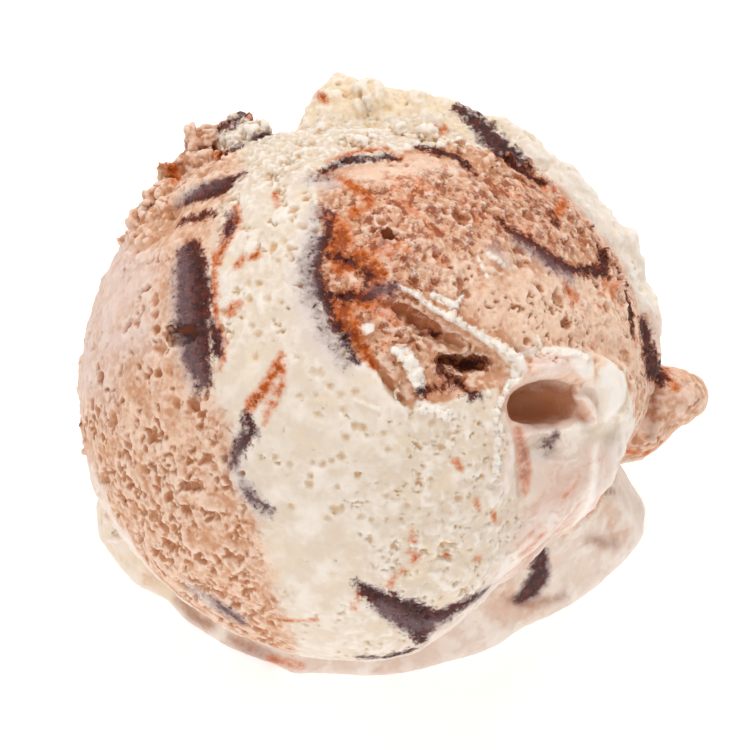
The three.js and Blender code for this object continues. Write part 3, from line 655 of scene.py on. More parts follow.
def evened(values, edges, passes):
    """Values averaged over neighbouring vertices, a number of times."""
    count = np.bincount(edges.ravel(), minlength=len(values)).clip(1)
    for _ in range(passes):
        total = np.zeros_like(values)
        for axis in range(values.shape[1]):
            column = values[:, axis]
            total[:, axis] = (np.bincount(edges[:, 0], column[edges[:, 1]], len(values))
                              + np.bincount(edges[:, 1], column[edges[:, 0]], len(values)))
        values = 0.5 * values + 0.5 * total / count[:, None]
    return values


def core_of_solid(sizes):
    """The solid's own form, with its facets evened out."""
    source = frame["nodes"]["scoop"]
    core = source.copy()
    core.data = source.data.copy()
    core.name = "ice_cream"
    bpy.context.collection.objects.link(core)
    core.parent = None
    core.matrix_world = source.matrix_world
    select_only(core)
    bpy.ops.object.transform_apply(location=True, rotation=True, scale=True)
    with edit_mode(core):
        bpy.ops.mesh.select_all(action="SELECT")
        bpy.ops.mesh.remove_doubles(threshold=MERGE_REACH)
    remesh(core, sizes.core_grain)
    smooth(core, sizes.core_smoothing)
    return core


def keep_outer_skin(piece):
    """Drops the closed hollows that the remesh leaves where a sliver or a crumb meets the skin."""
    with edit_mode(piece):
        bpy.ops.mesh.select_all(action="DESELECT")
    top = int(mesh_points(piece)[:, 2].argmax())
    piece.data.vertices[top].select = True
    with edit_mode(piece):
        bpy.ops.mesh.select_linked()
        bpy.ops.mesh.select_all(action="INVERT")
        bpy.ops.mesh.delete(type="VERT")


def skin_lookup(piece):
    """A tree of the mesh's vertices, to find where the skin is under a place."""
    points = mesh_points(piece)
    tree = kdtree.KDTree(len(points))
    for index, point in enumerate(points):
        tree.insert(point, index)
    tree.balance()
    return tree


def skin_place(tree, x, u, lift):
    """The place on the skin nearest to x, u of the ball, moved out along the ball's radius."""
    spot, _, _ = tree.find(Vector(world_place(x, u, ball_depth(x, u))))
    out = np.array(spot) / MM - BALL_CENTRE
    return (BALL_CENTRE + out * (1 + lift / np.linalg.norm(out))) * MM


def add_sliver(tree, beads, lift):
    """A tapering roll through beads on the skin, as a bevelled path made into a mesh."""
    bpy.ops.curve.primitive_nurbs_path_add(location=(0, 0, 0))
    roll = bpy.context.object
    curve = roll.data
    curve.splines.clear()
    path = curve.splines.new("NURBS")
    path.points.add(len(beads) - 1)
    path.use_endpoint_u = True
    path.order_u = 3
    for point, (x, u, width) in zip(path.points, beads):
        point.co = (*skin_place(tree, x, u, lift), 1)
        point.radius = width
    curve.bevel_depth = MM
    curve.bevel_resolution = 3
    curve.resolution_u = 8
    curve.use_fill_caps = True
    select_only(roll)
    bpy.ops.object.convert(target="MESH")
    return bpy.context.object


def add_crumb(place, radius, random):
    """A crumb: a ball knocked out of shape; the skin's relief roughens it further."""
    bpy.ops.mesh.primitive_ico_sphere_add(
        subdivisions=2, radius=radius * MM, location=place, rotation=random.uniform(0, math.tau, 3),
        scale=random.uniform(0.65, 1.25, 3))
    crumb = bpy.context.object
    with edit_mode(crumb):
        bpy.ops.transform.vertex_random(
            offset=0.55 * radius * MM, uniform=0.6, normal=0.4, seed=int(random.integers(1000)))
        bpy.ops.mesh.subdivide(number_cuts=1, smoothness=1.0)
    return crumb


def crumbs(random):
    placed = [add_crumb(world_place(x, u, w), radius, random) for x, u, w, radius in CRUMBS]
    for (start, end), (near, far), count, (small, large) in STREWN:
        for _ in range(count):
            bearing = math.radians(random.uniform(start, end))
            reach = random.uniform(near, far)
            x, u = reach * math.cos(bearing), reach * math.sin(bearing)
            radius = small + (large - small) * random.random() ** 2
            placed.append(add_crumb(world_place(x, u, ball_depth(x, u) - 0.5 * radius), radius, random))
    return placed


def join_into(piece, others):
    deselect_all()
    for other in others:
        other.select_set(True)
    piece.select_set(True)
    bpy.context.view_layer.objects.active = piece
    bpy.ops.object.join()


def wander(place, length, reach, seed):
    """Two offsets in mm that let a border wander, so that it never runs straight."""
    return [reach * layered_noise(place, length, seed + 10 * k, 3) for k in (0, 1)]


def within(places, strokes, inner, outer):
    """1 inside any stroke, easing to 0 between the two depths."""
    return smoothstep(outer, inner, stroke_depth(places, strokes))


def scoop_places(points):
    """Where points in metres lie, in the scoop's frame and on the ball, and how borders wander there."""
    place = dome_places(points)
    ball = seen_on_ball(place)
    near_x, near_u = wander(place, 2.2, 0.42, SEEDS["near"])
    far_x, far_u = wander(place, 8.0, 1.8, SEEDS["far"])
    return SimpleNamespace(
        place=place, ball=ball, x=ball[:, 0], u=ball[:, 1], height=points[:, 2] / MM,
        near_x=near_x, near_u=near_u, far_x=far_x, far_u=far_u,
        front=smoothstep(-2.6, 0.3, place[:, 2]), bearing=np.degrees(np.arctan2(place[:, 1], place[:, 0])))


def add_rim_zones(at):
    """Shares of what sticks out past the dome: crown, rim, flap, and foot with its skirt at the left."""
    across, up, out = at.place.T
    at.foot = smoothstep(13.0, 7.0, at.height + at.far_u) * smoothstep(4.0, -8.0, up + 1.5 * at.far_x)
    at.foot *= 1 - at.front
    turned = at.bearing + 3 * at.far_x * (1 - at.front)
    at.crown = smoothstep(6, 12, turned) * smoothstep(116, 108, turned)
    at.crown *= smoothstep(-16, -10, out + 1.5 * at.far_u)
    at.rim = smoothstep(26.8, 27.9, np.hypot(at.x, at.u) + at.near_x) * smoothstep(-172, -160, at.bearing)
    at.rim = at.rim * smoothstep(-26, -40, at.bearing) * at.front
    at.flap = field_share(at.x, at.u, [FLAP_FIELD]) * (1 - at.front)
    at.skirt = at.foot * smoothstep(-8, -16, across) * smoothstep(-27, -20, up)
    at.seen = np.maximum(at.crown, at.foot)


def add_cream(at):
    """Shares of the vanilla's strands, smears and lumps, of the drier crest and of the bright milk."""
    out = at.place[:, 2]
    at.strand = within(at.ball, on_ball(CREAM), 0.12, -0.2) * at.front
    at.smear = within(at.ball, on_ball(MILK), 0.3, -0.6) * at.front
    at.lump = within(at.place[:, :2], RIM_CREAM, 0.2, -0.3) * (out < 9)
    at.crest = np.maximum(at.crown * (1 - at.front) * smoothstep(20, 8, at.x), at.skirt)
    bright = 0.6 * at.crown * (1 - at.front) * smoothstep(6, 22, at.x) * smoothstep(-14, -5, out)
    at.milk = np.maximum(at.smear, bright)


def add_cocoa(at):
    """Share of the cocoa, from outlines on the dome and a swirl on the hidden side, and its tints."""
    stirred = at.place + 1.4 * np.stack([at.near_x, at.near_u, at.near_x], axis=1)
    swirl = layered_noise(stirred, 15.0, SEEDS["swirl"], 2)
    hidden = smoothstep(-0.12, 0.12, swirl) * (1 - at.crown) * (1 - smoothstep(0.3, 0.8, at.foot))
    hidden = np.maximum(hidden, field_share(at.x, at.u, [FLAP_FIELD, CRUMB_FIELD]))
    shown = field_share(at.x + at.near_x, at.u + at.near_u, COCOA_FIELDS)
    shown = shown * (1 - at.strand) * (1 - at.smear) * (1 - 0.85 * at.rim)
    at.cocoa = (hidden + (shown - hidden) * at.front) * (1 - at.lump)
    far = (at.x + at.far_x, at.u + at.far_u)
    at.stain = np.maximum(field_share(*far, STAIN_FIELDS) * at.front, 0.25 * at.flap)
    at.pale = field_share(*far, PALE_FIELDS) * at.front
    at.clump = smoothstep(-0.15, 0.55, layered_noise(at.place, 3.4, SEEDS["clump"], 2))


def add_melt(at):
    """Share of the melted skin, and the streaks along its sag, which the hollow's basin hardly has."""
    at.basin = field_share(at.x, at.u, [HOLLOW_FIELD]) * at.front
    melt = field_share(at.x + at.near_x + 0.4 * at.far_x, at.u + at.near_u, MELT_FIELDS) * at.front
    at.melt = np.maximum(np.maximum(melt, 0.12 * at.flap), 0.9 * np.maximum(at.foot, at.rim))
    along, across = -0.6 * at.x - 0.8 * at.u, 0.8 * at.x - 0.6 * at.u
    sag = np.stack([across / 1.3 + 2 * at.near_x, along / 9.0, np.full(len(at.x), 0.5)], axis=1)
    at.streak = layered_noise(sag, 1.0, SEEDS["streak"], 3, 0.6) * (1 - 0.9 * at.basin)


def add_tints(at):
    """Shares of the rosy skin and of the umber: brown smudges, and painted shade in a deep scrape and in the
    crease under the dome's overhang.
    """
    rose = field_share(at.x + at.far_x, at.u + at.far_u, ROSE_FIELDS) * at.front
    rose = np.maximum(rose, 0.6 * np.maximum(at.foot, at.rim))
    at.rose = np.maximum(rose * (1 - 0.8 * at.skirt), 0.7 * at.basin)
    wandered = at.place[:, :2] + np.stack([at.near_x, at.near_u], axis=1)
    # Brown smudges, partly painted shade in the crease under the dome's overhang.
    smudge_and_shade = 0.85 * within(wandered, RIM_SMUDGES, 0.7, -1.1)
    smudge_and_shade *= smoothstep(3, 1, at.place[:, 2])
    damp = 0.12 * at.foot * smoothstep(14, 8, at.place[:, 0])
    streaks = within(at.ball, on_ball(HOLLOW_SMUDGES), 0.4, -0.9) * at.front
    # Painted shade in the deep scrape below the long vanilla strand.
    trench_shade = 0.5 * field_share(at.x + at.near_x, at.u + at.near_u, UMBER_FIELDS) * at.front
    at.umber = np.maximum.reduce([trench_shade, 0.4 * streaks, smudge_and_shade, damp])


def skin_fields(points):
    """Every field that the relief and the colours share, for points in metres."""
    at = scoop_places(points)
    for add_fields in (add_rim_zones, add_cream, add_cocoa, add_melt, add_tints):
        add_fields(at)
    return at


def ragged(place, pits, amount):
    """Pits of 0 to 1.2 with torn edges: hardly any where amount is 0, and more the higher it is."""
    length, seed = pits["length"], pits["seed"]
    warp = np.stack([gradient_noise(place / length * 1.9 + 9.1 * k, seed + 30 + k) for k in range(3)], axis=1)
    field = layered_noise(place + 0.35 * length * warp, length, seed, 3, 0.6)
    threshold = 1.15 - amount
    return 1.2 * smoothstep(threshold - 0.05, threshold + 0.55, field)


def felt(weight, make):
    """weight times what make gives, worked out only at the points where the weight counts."""
    here = weight > 0.02
    result = np.zeros(len(weight))
    result[here] = weight[here] * make(here)
    return result


def add_relief_zones(at):
    """Shares of the zones whose skin was torn, rolled or crumbled in its own way."""
    firm = 1 - 0.92 * at.melt
    x, u = at.place[:, 0], at.place[:, 1]
    side = smoothstep(-6, -13, x)
    at.left = at.cocoa * side * at.front * firm
    at.brown = at.cocoa * (1 - side) * at.front * firm
    at.cream = (1 - at.cocoa) * at.front * firm
    at.torn = (1 - at.front) * firm * (1 - 0.25 * at.seen) * (1 - 0.5 * at.flap)
    at.low = smoothstep(9, -8, u) * smoothstep(-11.5, -14, x + 0.25 * u)
    at.high = smoothstep(0, 10, u)
    at.edge = smoothstep(18, 23, u)
    at.scuffed = smoothstep(-1, 9, x - 0.2 * u) * smoothstep(2, -4, u)
    at.loose = np.maximum(at.high, at.scuffed)
    at.crumbly = smoothstep(108, 116, at.bearing) * smoothstep(156, 146, at.bearing)
    at.crumbly *= smoothstep(24.5, 26.5, np.hypot(x, u)) * at.front
    at.bed = within(at.ball, on_ball(RIBBONS), 0.3, -0.4) * at.front * firm


def pitting(at):
    """Depth in mm of the ragged pits, zone by zone: gain, zone, kind of pit and how much of it."""
    depth = np.zeros(len(at.front))
    for gain, zone, pits, amount in (
            (1.0, at.left, LEFT_PITS, 0.36 + 0.55 * at.low + 0.3 * at.clump),
            (1.0, at.left, LEFT_FINE_PITS, 0.25 + 0.45 * at.low),
            (1.0, at.brown, BROWN_PITS, 0.5 + 0.55 * at.clump),
            (1.0, at.cream, CREAM_PITS,
             at.clump * (0.45 + 0.5 * at.high) + 0.16 + 0.2 * at.edge + 0.42 * at.scuffed),
            (1.6, at.cream * at.loose, LEFT_FINE_PITS, 0.55 * at.clump + 0.4 * at.edge + 0.3 * at.scuffed),
            (1.0, at.torn, TORN_PITS, 0.4 + 0.5 * at.clump)):
        pitted = felt(zone, lambda here: ragged(at.place[here], pits, amount[here]))
        depth += gain * (pits["depth"] * pitted)
    return depth


def scrape_and_fold(height, at, fine):
    """Digs the gouges into the heights, with torn edges, and raises the folds."""
    waver = 0.5 * gradient_noise(at.place / 0.8, SEEDS["scrape"])
    for stroke, depth in GOUGES:
        inside = stroke_depth(at.ball, on_ball([stroke]))
        height -= depth * smoothstep(-0.25, 0.35, inside + waver) * (1 + 0.5 * fine)
    for stroke, rise in FOLDS:
        height += rise * smoothstep(-0.8, 0.5, stroke_depth(at.ball, on_ball([stroke])))


def relief(at):
    """How far the skin moves out at each point, in mm."""
    add_relief_zones(at)
    coarse = layered_noise(at.place, 2.2, SEEDS["coarse"], 3, 0.55)
    fine = layered_noise(at.place, 0.6, SEEDS["fine"], 3, 0.65)
    height = -pitting(at)
    vanilla_lumps = 0.04 + 0.08 * at.loose + 0.08 * at.scuffed + 0.12 * at.edge
    vanilla_grain = 0.02 + 0.04 * at.loose + 0.14 * at.edge
    height += coarse * (0.12 * at.left + 0.16 * at.brown + vanilla_lumps * at.cream + 0.45 * at.torn
                        + 0.3 * at.crumbly)
    height += fine * (0.07 * at.left + 0.13 * at.brown + vanilla_grain * at.cream + 0.16 * at.torn
                      + 0.12 * at.crumbly)
    height += VANILLA_STEP * at.cream + at.bed * (0.14 * fine - 0.1)
    height += 0.45 * (0.4 * coarse + fine) * at.strand
    height += 0.22 * at.melt * at.front * at.streak
    scrape_and_fold(height, at, fine)
    return height


def sink_pits(points, normals, tree):
    """Sinks the pits that can be told apart, with steep sides and ragged rims."""
    moved = np.zeros(len(points))
    ragged_gap = 1 + PIT_RAGGEDNESS * gradient_noise(points / (PIT_RIM_LENGTH * MM), SEEDS["pit rim"])
    for x, u, radius, depth in PITS:
        spot, _, _ = tree.find(Vector(world_place(x, u, ball_depth(x, u))))
        for _, near, gap in tree.find_range(spot, PIT_SEARCH * radius * MM):
            inside = 1 - (ragged_gap[near] * gap / MM / radius / PIT_REACH) ** 2
            moved[near] = max(moved[near], PIT_GAIN * depth * max(inside, 0.0) ** PIT_STEEPNESS)
    return points - normals * (moved * MM)[:, None]


def hidden_strokes(random, count, width):
    """Ribbons that wander over the hidden side, as strokes in the scoop's frame."""
    strokes = []
    for _ in range(count):
        heading = random.normal(size=3)
        at = random.normal(size=3)
        at[2] = -abs(at[2]) - 0.15
        stroke = []
        for step in range(HIDDEN_STEPS):
            at /= np.linalg.norm(at)
            taper = math.sin(math.pi * (step + 0.6) / (HIDDEN_STEPS + 0.6))
            stroke.append((*(at * BALL_RADIUS), width * taper * (0.6 + 0.8 * random.random())))
            heading = heading * 0.6 + random.normal(size=3) * HIDDEN_SWERVE
            heading -= at * (heading @ at)
            at = at + heading / np.linalg.norm(heading) * HIDDEN_STRIDE
        strokes.append(stroke)
    return strokes


def hollowness(piece):
    """How deep each vertex lies under the evened surface, in mm, with a little for its slope; by it the
    material paints shade into the pits and a highlight onto the raised grains.
    """
    points, normals, edges = mesh_points(piece), mesh_normals(piece), mesh_edges(piece)
    even = evened(points, edges, EVENING_PASSES)
    slope = 1 - np.sum(normals * evened(normals, edges, EVENING_PASSES), axis=1)
    return np.sum((even - points) * normals, axis=1) / MM + SLOPE_SHADE * slope


def paint(piece, random):
    """Stores the fields that the ice cream's material reads."""
    at = skin_fields(mesh_points(piece))
    set_attribute(piece, "hollow", hollowness(piece))
    across, up, out = at.place.T
    beside = (out > -21) & ((out < 3) | (np.hypot(across, up) > 27.2))
    for name, strokes, rim_strokes, count, width in MARKS:
        depth = stroke_depth(at.ball, on_ball(strokes))
        hidden = stroke_depth(at.ball, hidden_strokes(random, count, width))
        depth = np.where(at.front > 0.5, depth, hidden - 4 * at.seen)
        rim = stroke_depth(at.place[:, :2], rim_strokes)
        set_attribute(piece, name, np.where(beside, np.maximum(depth, rim), depth))
    frost = stroke_depth(at.ball, on_ball(FROST))
    set_attribute(piece, "frost", frost * at.front - 3 * (1 - at.front))
    for name in SHARE_FIELDS:
        set_attribute(piece, name, getattr(at, name))


def split_at_rim(piece):
    """Cuts the skin along the crease behind the dome into two closed pieces."""
    other = piece.copy()
    other.data = piece.data.copy()
    bpy.context.collection.objects.link(other)
    for half, keep_front in ((piece, True), (other, False)):
        with edit_mode(half):
            bpy.ops.mesh.select_all(action="SELECT")
            bpy.ops.mesh.bisect(
                plane_co=world_place(0, 0, RIM_CUT), plane_no=DOME_AXIS, use_fill=True,
                clear_inner=keep_front, clear_outer=not keep_front, threshold=1e-7)
    return piece, other


def thin_to(piece, triangles):
    """Decimates a piece to a number of triangles."""
    present = sum(len(face.vertices) - 2 for face in piece.data.polygons)
    apply_modifier(piece, "DECIMATE", ratio=min(1.0, triangles / present))


def lift_to_floor(piece):
    """Moves what the relief pushed under the floor back up to it, which leaves the foot flat."""
    points = mesh_points(piece)
    points[:, 2] = np.maximum(points[:, 2], 0.0)
    set_points(piece, points)


def smooth_but_cut(piece):
    """Shades a piece smooth, apart from the flat face of the cut."""
    select_only(piece)
    bpy.ops.object.shade_smooth()
    faces = piece.data.polygons
    middles = np.empty(len(faces) * 3, dtype=np.float32)
    normals = np.empty(len(faces) * 3, dtype=np.float32)
    faces.foreach_get("center", middles)
    faces.foreach_get("normal", normals)
    depth = dome_places(middles.reshape(-1, 3).astype(float))[:, 2]
    facing = np.abs(normals.reshape(-1, 3) @ DOME_AXIS)
    on_cut = (np.abs(depth - RIM_CUT) < CUT_REACH) & (facing > 0.999)
    faces.foreach_set("use_smooth", ~on_cut)


class SCOOP_OT_skin(bpy.types.Operator):
    """Makes the scoop's fine skin over the solid's form, with its crumbs, slivers and pits."""
    bl_idname = "scoop.skin"
    bl_label = "Ice cream"

    def execute(self, context):
        sizes = context.scene.scoop_sizes
        body = core_of_solid(sizes)
        tree = skin_lookup(body)
        slivers = [add_sliver(tree, beads, lift) for beads, lift in SLIVERS]
        join_into(body, slivers + crumbs(np.random.default_rng(SEEDS["crumbs"])))
        remesh(body, sizes.skin_grain)
        keep_outer_skin(body)
        smooth(body, SKIN_SMOOTHING)
        points, normals = mesh_points(body), mesh_normals(body)
        points = points + normals * (relief(skin_fields(points)) * MM)[:, None]
        set_points(body, points)
        points = sink_pits(points, mesh_normals(body), skin_lookup(body))
        set_points(body, points)
        smooth(body, RELIEF_SMOOTHING)
        dome, torn = split_at_rim(body)
        dome.name, torn.name = "rolled_dome", "torn_rim_and_foot"
        for piece in (dome, torn):
            piece.data.name = piece.name
            thin_to(piece, sizes.triangles)
            lift_to_floor(piece)
            paint(piece, np.random.default_rng(SEEDS["hidden marks"]))
            smooth_but_cut(piece)
            piece.data.materials.clear()
            piece.data.materials.append(ice_cream_material(context.scene.scoop_colours))
            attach(piece, "root")
            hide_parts("scoop")
        return {"FINISHED"}


# ---------------------------------------------------------------------------------------------
# Materials.

# Kinds of node: the type, its inputs in the order that values are given in, its output, its settings.
NODES = {
    "place": ("ShaderNodeTexCoord", (), "Object", {}),
    "field": ("ShaderNodeAttribute", (), "Fac", {}),
    "noise": ("ShaderNodeTexNoise", ("Vector", "Scale", "Detail", "Roughness", "Distortion"), "Fac", {}),
    "ramp": ("ShaderNodeMapRange", ("Value", "From Min", "From Max", "To Min", "To Max"), "Result",
             {"interpolation_type": "SMOOTHSTEP"}),
    "mix": ("ShaderNodeMix", (0, 6, 7), 2, {"data_type": "RGBA"}),
    "plus": ("ShaderNodeMath", (0, 1), 0, {"operation": "ADD"}),
    "minus": ("ShaderNodeMath", (0, 1), 0, {"operation": "SUBTRACT"}),
    "times": ("ShaderNodeMath", (0, 1), 0, {"operation": "MULTIPLY"}),
    "most": ("ShaderNodeMath", (0, 1), 0, {"operation": "MAXIMUM"}),
    "bump": ("ShaderNodeBump", ("Height", "Strength", "Distance"), "Normal", {}),
    "shader": ("ShaderNodeBsdfPrincipled", ("Base Color", "Roughness", "Normal"), "BSDF", {}),
    "output": ("ShaderNodeOutputMaterial", ("Surface",), None, {"is_active_output": True}),
}

# Noises of the ice cream: size of the lumps in mm, detail, roughness, distortion.
NOISES = {
    "waver": (1.1, 6.0, 0.68, 0.1),
    "grain": (0.3, 3.0, 0.7, 0.0),
    "crumble": (0.55, 4.0, 0.7, 0.0),
    "mottle": (1.0, 6.0, 0.72, 0.15),
    "blot": (3.4, 5.0, 0.6, 0.2),
}
# Churned milk with air in it: a low IOR, a weak gloss, and light enters it a little, red deepest.
ICE_CREAM_SURFACE = {
    "IOR": 1.34, "Specular IOR Level": 0.3, "Subsurface Weight": 0.25, "Subsurface Scale": 0.5 * MM,
    "Subsurface Radius": (1.0, 0.8, 0.6),
}
DRY_ROUGHNESS, MELTED_ROUGHNESS = 0.66, 0.42
BUMP_HEIGHT = 0.14 * MM
FLOOR_GLOW = 0.26
FLOOR_MOTTLE = 25 * MM


def add_node(tree, kind, *values, **settings):
    """Adds a node, sets its properties, and gives its inputs their links, numbers or colours."""
    type_name, inputs, _, usual = NODES[kind]
    node = tree.nodes.new(type_name)
    for name, value in (usual | settings).items():
        setattr(node, name, value)
    for socket, value in zip(inputs, values):
        if isinstance(value, bpy.types.NodeSocket):
            tree.links.new(value, node.inputs[socket])
        elif isinstance(value, (int, float)):
            node.inputs[socket].default_value = value
        else:
            node.inputs[socket].default_value = (*value, 1.0)
    return node


class IceCreamLayers:
    """The ice cream's colours, laid over each other by its noises and the fields on the skin."""

    def __init__(self, tree, colours):
        self.tree, self.tint = tree, colours
        spot = self.add("place")
        for name, (size, *shape) in NOISES.items():
            setattr(self, name, self.add("noise", spot, 1 / (size * MM), *shape))
        for name in ("hollow", "ribbon", "rust", "frost", *SHARE_FIELDS):
            setattr(self, name, self.add("field", attribute_name=name))
        self.firm = self.add("ramp", self.melt, 0.2, 0.9, 1.0, 0.12)
        self.restless = self.add("ramp", self.melt, 0.2, 0.9, 1.0, 0.4)
        # Painted shade goes where the skin lies deep under its evened surface.
        self.pit = self.add("ramp", self.wavering(self.hollow, self.grain, 0.16), 0.02, 0.26)
        # A painted highlight goes where the skin stands above it.
        self.raised = self.add("ramp", self.wavering(self.hollow, self.crumble, -0.2), 0.02, -0.16)
        self.cocoa_share = self.add("ramp", self.wavering(self.cocoa, self.waver, 1.1), 0.14, 0.86)
        clumped = self.wavering(self.cocoa_share, self.clump, 0.9)
        self.open_grain = self.add("ramp", clumped, 0.0, 1.2, 0.1, 1.0)
        # Tiny pits from a noise, dented by the bump and darkened with painted shade.
        self.micro_pit = self.times(self.add("ramp", self.crumble, 0.55, 0.66), self.open_grain, self.firm)

    def add(self, kind, *values, **settings):
        """Adds a node of any kind and gives the output that its kind names."""
        return add_node(self.tree, kind, *values, **settings).outputs[NODES[kind][2]]

    def times(self, *values):
        """The product of all values."""
        product = values[0]
        for value in values[1:]:
            product = self.add("times", product, value)
        return product

    def wavering(self, value, source, size):
        """The value, moved up and down by a noise of 0 to 1, by half of size each way."""
        return self.add("plus", value, self.add("times", self.add("minus", source, 0.5), size))

    def laid(self, base, *layers):
        """The base with layers laid over it, each given as its share and its colour."""
        for share, colour in layers:
            base = self.add("mix", share, base, colour)
        return base

    def cocoa_colour(self):
        """Milk chocolate, pale with a painted highlight on its ridges, with bled chocolate, rusty and pale
        flecks, and painted shade in its pits.
        """
        add, times, wavering, tint = self.add, self.times, self.wavering, self.tint
        streak = add("ramp", wavering(self.stain, self.blot, 0.9), 0.0, 0.9)
        # Painted highlight: pale where the skin stands above its evened surface.
        painted_highlight = add("ramp", wavering(self.hollow, self.blot, 0.3), 0.02, -0.12, 0.0, 0.7)
        rusty = times(add("ramp", wavering(self.blot, self.mottle, 0.3), 0.53, 0.64), streak, 0.75)
        clear = add("ramp", self.pale, 0.0, 1.0, 1.0, 0.35)
        stained = times(add("ramp", self.mottle, 0.49, 0.58), streak, clear, 0.85)
        fleck = times(add("ramp", self.mottle, 0.4, 0.32), add("ramp", self.blot, 0.42, 0.56), 0.8)
        # Painted shade in the tiny pits that the bump dents.
        grainy = times(self.micro_pit, add("ramp", streak, 0.0, 1.0, 0.25, 0.55))
        return self.laid(
            tint.cocoa, (add("ramp", self.blot, 0.46, 0.66), tint.cocoa_pale), (painted_highlight, tint.cocoa_pale),
            (times(self.pale, 0.9), tint.cocoa_pale), (rusty, tint.rust), (stained, tint.stain),
            (fleck, tint.cocoa_pale), (grainy, tint.crumb),
            # Painted shade in the pits: the crumb colour where the cocoa is stained, the shade colour
            # elsewhere.
            (times(self.pit, 0.85), add("mix", streak, tint.shade, tint.crumb)))

    def vanilla_colour(self):
        """Vanilla, yellower on the crest, bright with a painted highlight on its ridges, with painted shade
        in its pores and tiny pits.
        """
        add, times, tint = self.add, self.times, self.tint
        dry = times(self.crest, add("ramp", self.mottle, 0.4, 0.6, 0.5, 1.0))
        # Painted highlight: milk where the skin stands above its evened surface.
        painted_highlight = add("ramp", self.wavering(self.hollow, self.blot, 0.3), 0.02, -0.14, 0.0, 0.6)
        return self.laid(
            tint.vanilla, (add("ramp", self.blot, 0.5, 0.75, 0.0, 0.5), tint.custard), (dry, tint.custard),
            # Painted highlight on the ridges, then painted shade in the tiny pits and the pores.
            (painted_highlight, tint.milk), (times(self.micro_pit, 0.25), tint.pore_shade),
            (times(self.pit, self.firm, 0.8), tint.pore_shade))

    def melted(self, base):
        """Lays on the melted skin: rosy, with streaks of cocoa and milk, umber smudges that are partly
        painted shade, and bright strands; then a painted highlight on the raised grains.
        """
        add, times, tint = self.add, self.times, self.tint
        open_skin = add("ramp", self.pit, 0.0, 1.0, 1.0, 0.1)
        rosy = times(self.rose, add("ramp", self.blot, 0.3, 0.6, 0.4, 0.9), open_skin)
        patches = add("ramp", self.blot, 0.4, 0.6, 0.25, 0.85)
        sagging = times(add("ramp", self.streak, 0.05, 0.6), self.melt, patches, 0.55)
        milky = times(add("ramp", self.streak, -0.1, -0.6), self.melt, 0.6)
        # Umber: brown smudges, and painted shade in a deep scrape and under the dome's overhang.
        smudged = times(self.umber, add("ramp", self.mottle, 0.3, 0.6, 0.8, 1.0))
        bright = add("most", self.milk, times(self.strand, add("ramp", self.pit, 0.2, 1.0, 1.0, 0.4)))
        return self.laid(
            base, (rosy, tint.rose), (sagging, tint.cocoa), (milky, tint.milk), (smudged, tint.umber),
            # Painted highlight on the raised grains.
            (times(bright, 0.85), tint.milk), (times(self.raised, 0.22), tint.glint))

    def frayed(self, depth, wide, fine):
        """A mark's depth with its edge frayed, in mm, by two noises; less where the skin has melted."""
        depth = self.wavering(depth, self.waver, self.times(self.restless, wide))
        return self.wavering(depth, self.crumble, self.times(self.restless, fine))

    def rusted(self, base):
        """Lays on the rusty marks, deeper in their middle and patchy."""
        add, times, tint = self.add, self.times, self.tint
        depth = self.frayed(self.rust, 1.2, 0.4)
        middle = add("ramp", self.wavering(depth, self.mottle, 2.4), 0.0, 0.7)
        rust = add("mix", middle, tint.rust, tint.rust_deep)
        diluted = add("ramp", self.melt, 0.3, 0.9, 1.0, 0.7)
        patchy = times(add("ramp", self.mottle, 0.36, 0.54, 0.5, 1.0), diluted)
        return self.laid(base, (times(add("ramp", depth, -0.5, 0.3), patchy), rust))

    def ribboned(self, base):
        """Lays on the ice bloom and the dark ribbons, with their halo, flecks and powder, and painted shade
        in the bloom's deep pits.
        """
        add, times, wavering, tint = self.add, self.times, self.wavering, self.tint
        depth = self.frayed(self.ribbon, 2.2, 1.1)
        bloom = add("ramp", wavering(self.frost, self.crumble, 1.4), -1.1, 0.9)
        near = add("ramp", wavering(depth, self.grain, 1.0), -2.1, 0.1)
        powder = add("mix", near, tint.frost, tint.frost_deep)
        halo = self.laid(tint.frost_deep, (self.cocoa_share, tint.rust_deep), (bloom, powder))
        flecks = times(add("ramp", self.crumble, 0.58, 0.64), add("ramp", depth, -1.5, -0.3), bloom, 0.9)
        broken = add("ramp", wavering(depth, self.mottle, times(self.restless, 2.2)), -0.25, 0.25)
        powdered = times(bloom, add("ramp", self.crumble, 0.36, 0.6, 0.45, 1.0), 0.6)
        redder = add("ramp", self.mottle, 0.44, 0.66)
        ribbon = self.laid(tint.ribbon, (redder, tint.ribbon_edge), (powdered, tint.frost_deep))
        return self.laid(
            base, (times(bloom, 0.8), powder), (times(add("ramp", depth, -0.6, 0.0), 0.7), halo),
            (flecks, tint.ribbon), (times(broken, add("ramp", bloom, 0.4, 1.0, 0.94, 0.6)), ribbon),
            (times(add("ramp", self.grain, 0.6, 0.7), broken, 0.2), tint.frost),
            # Painted shade in the deep pits of the bloom.
            (times(add("ramp", self.hollow, 0.12, 0.4), bloom, 0.75), tint.umber))

    def colour(self):
        base = self.add("mix", self.cocoa_share, self.vanilla_colour(), self.cocoa_colour())
        return self.ribboned(self.rusted(self.melted(base)))

    def normal(self):
        """Bumps too fine for the mesh: crumbs, grains and tiny pits, fainter where the skin melted."""
        add, times = self.add, self.times
        lumps = add("plus", times(self.crumble, self.open_grain, 0.8), times(self.mottle, 0.5))
        lumps = add("minus", add("plus", lumps, times(self.grain, 0.25)), times(self.micro_pit, 0.35))
        return add("bump", lumps, self.firm, BUMP_HEIGHT)


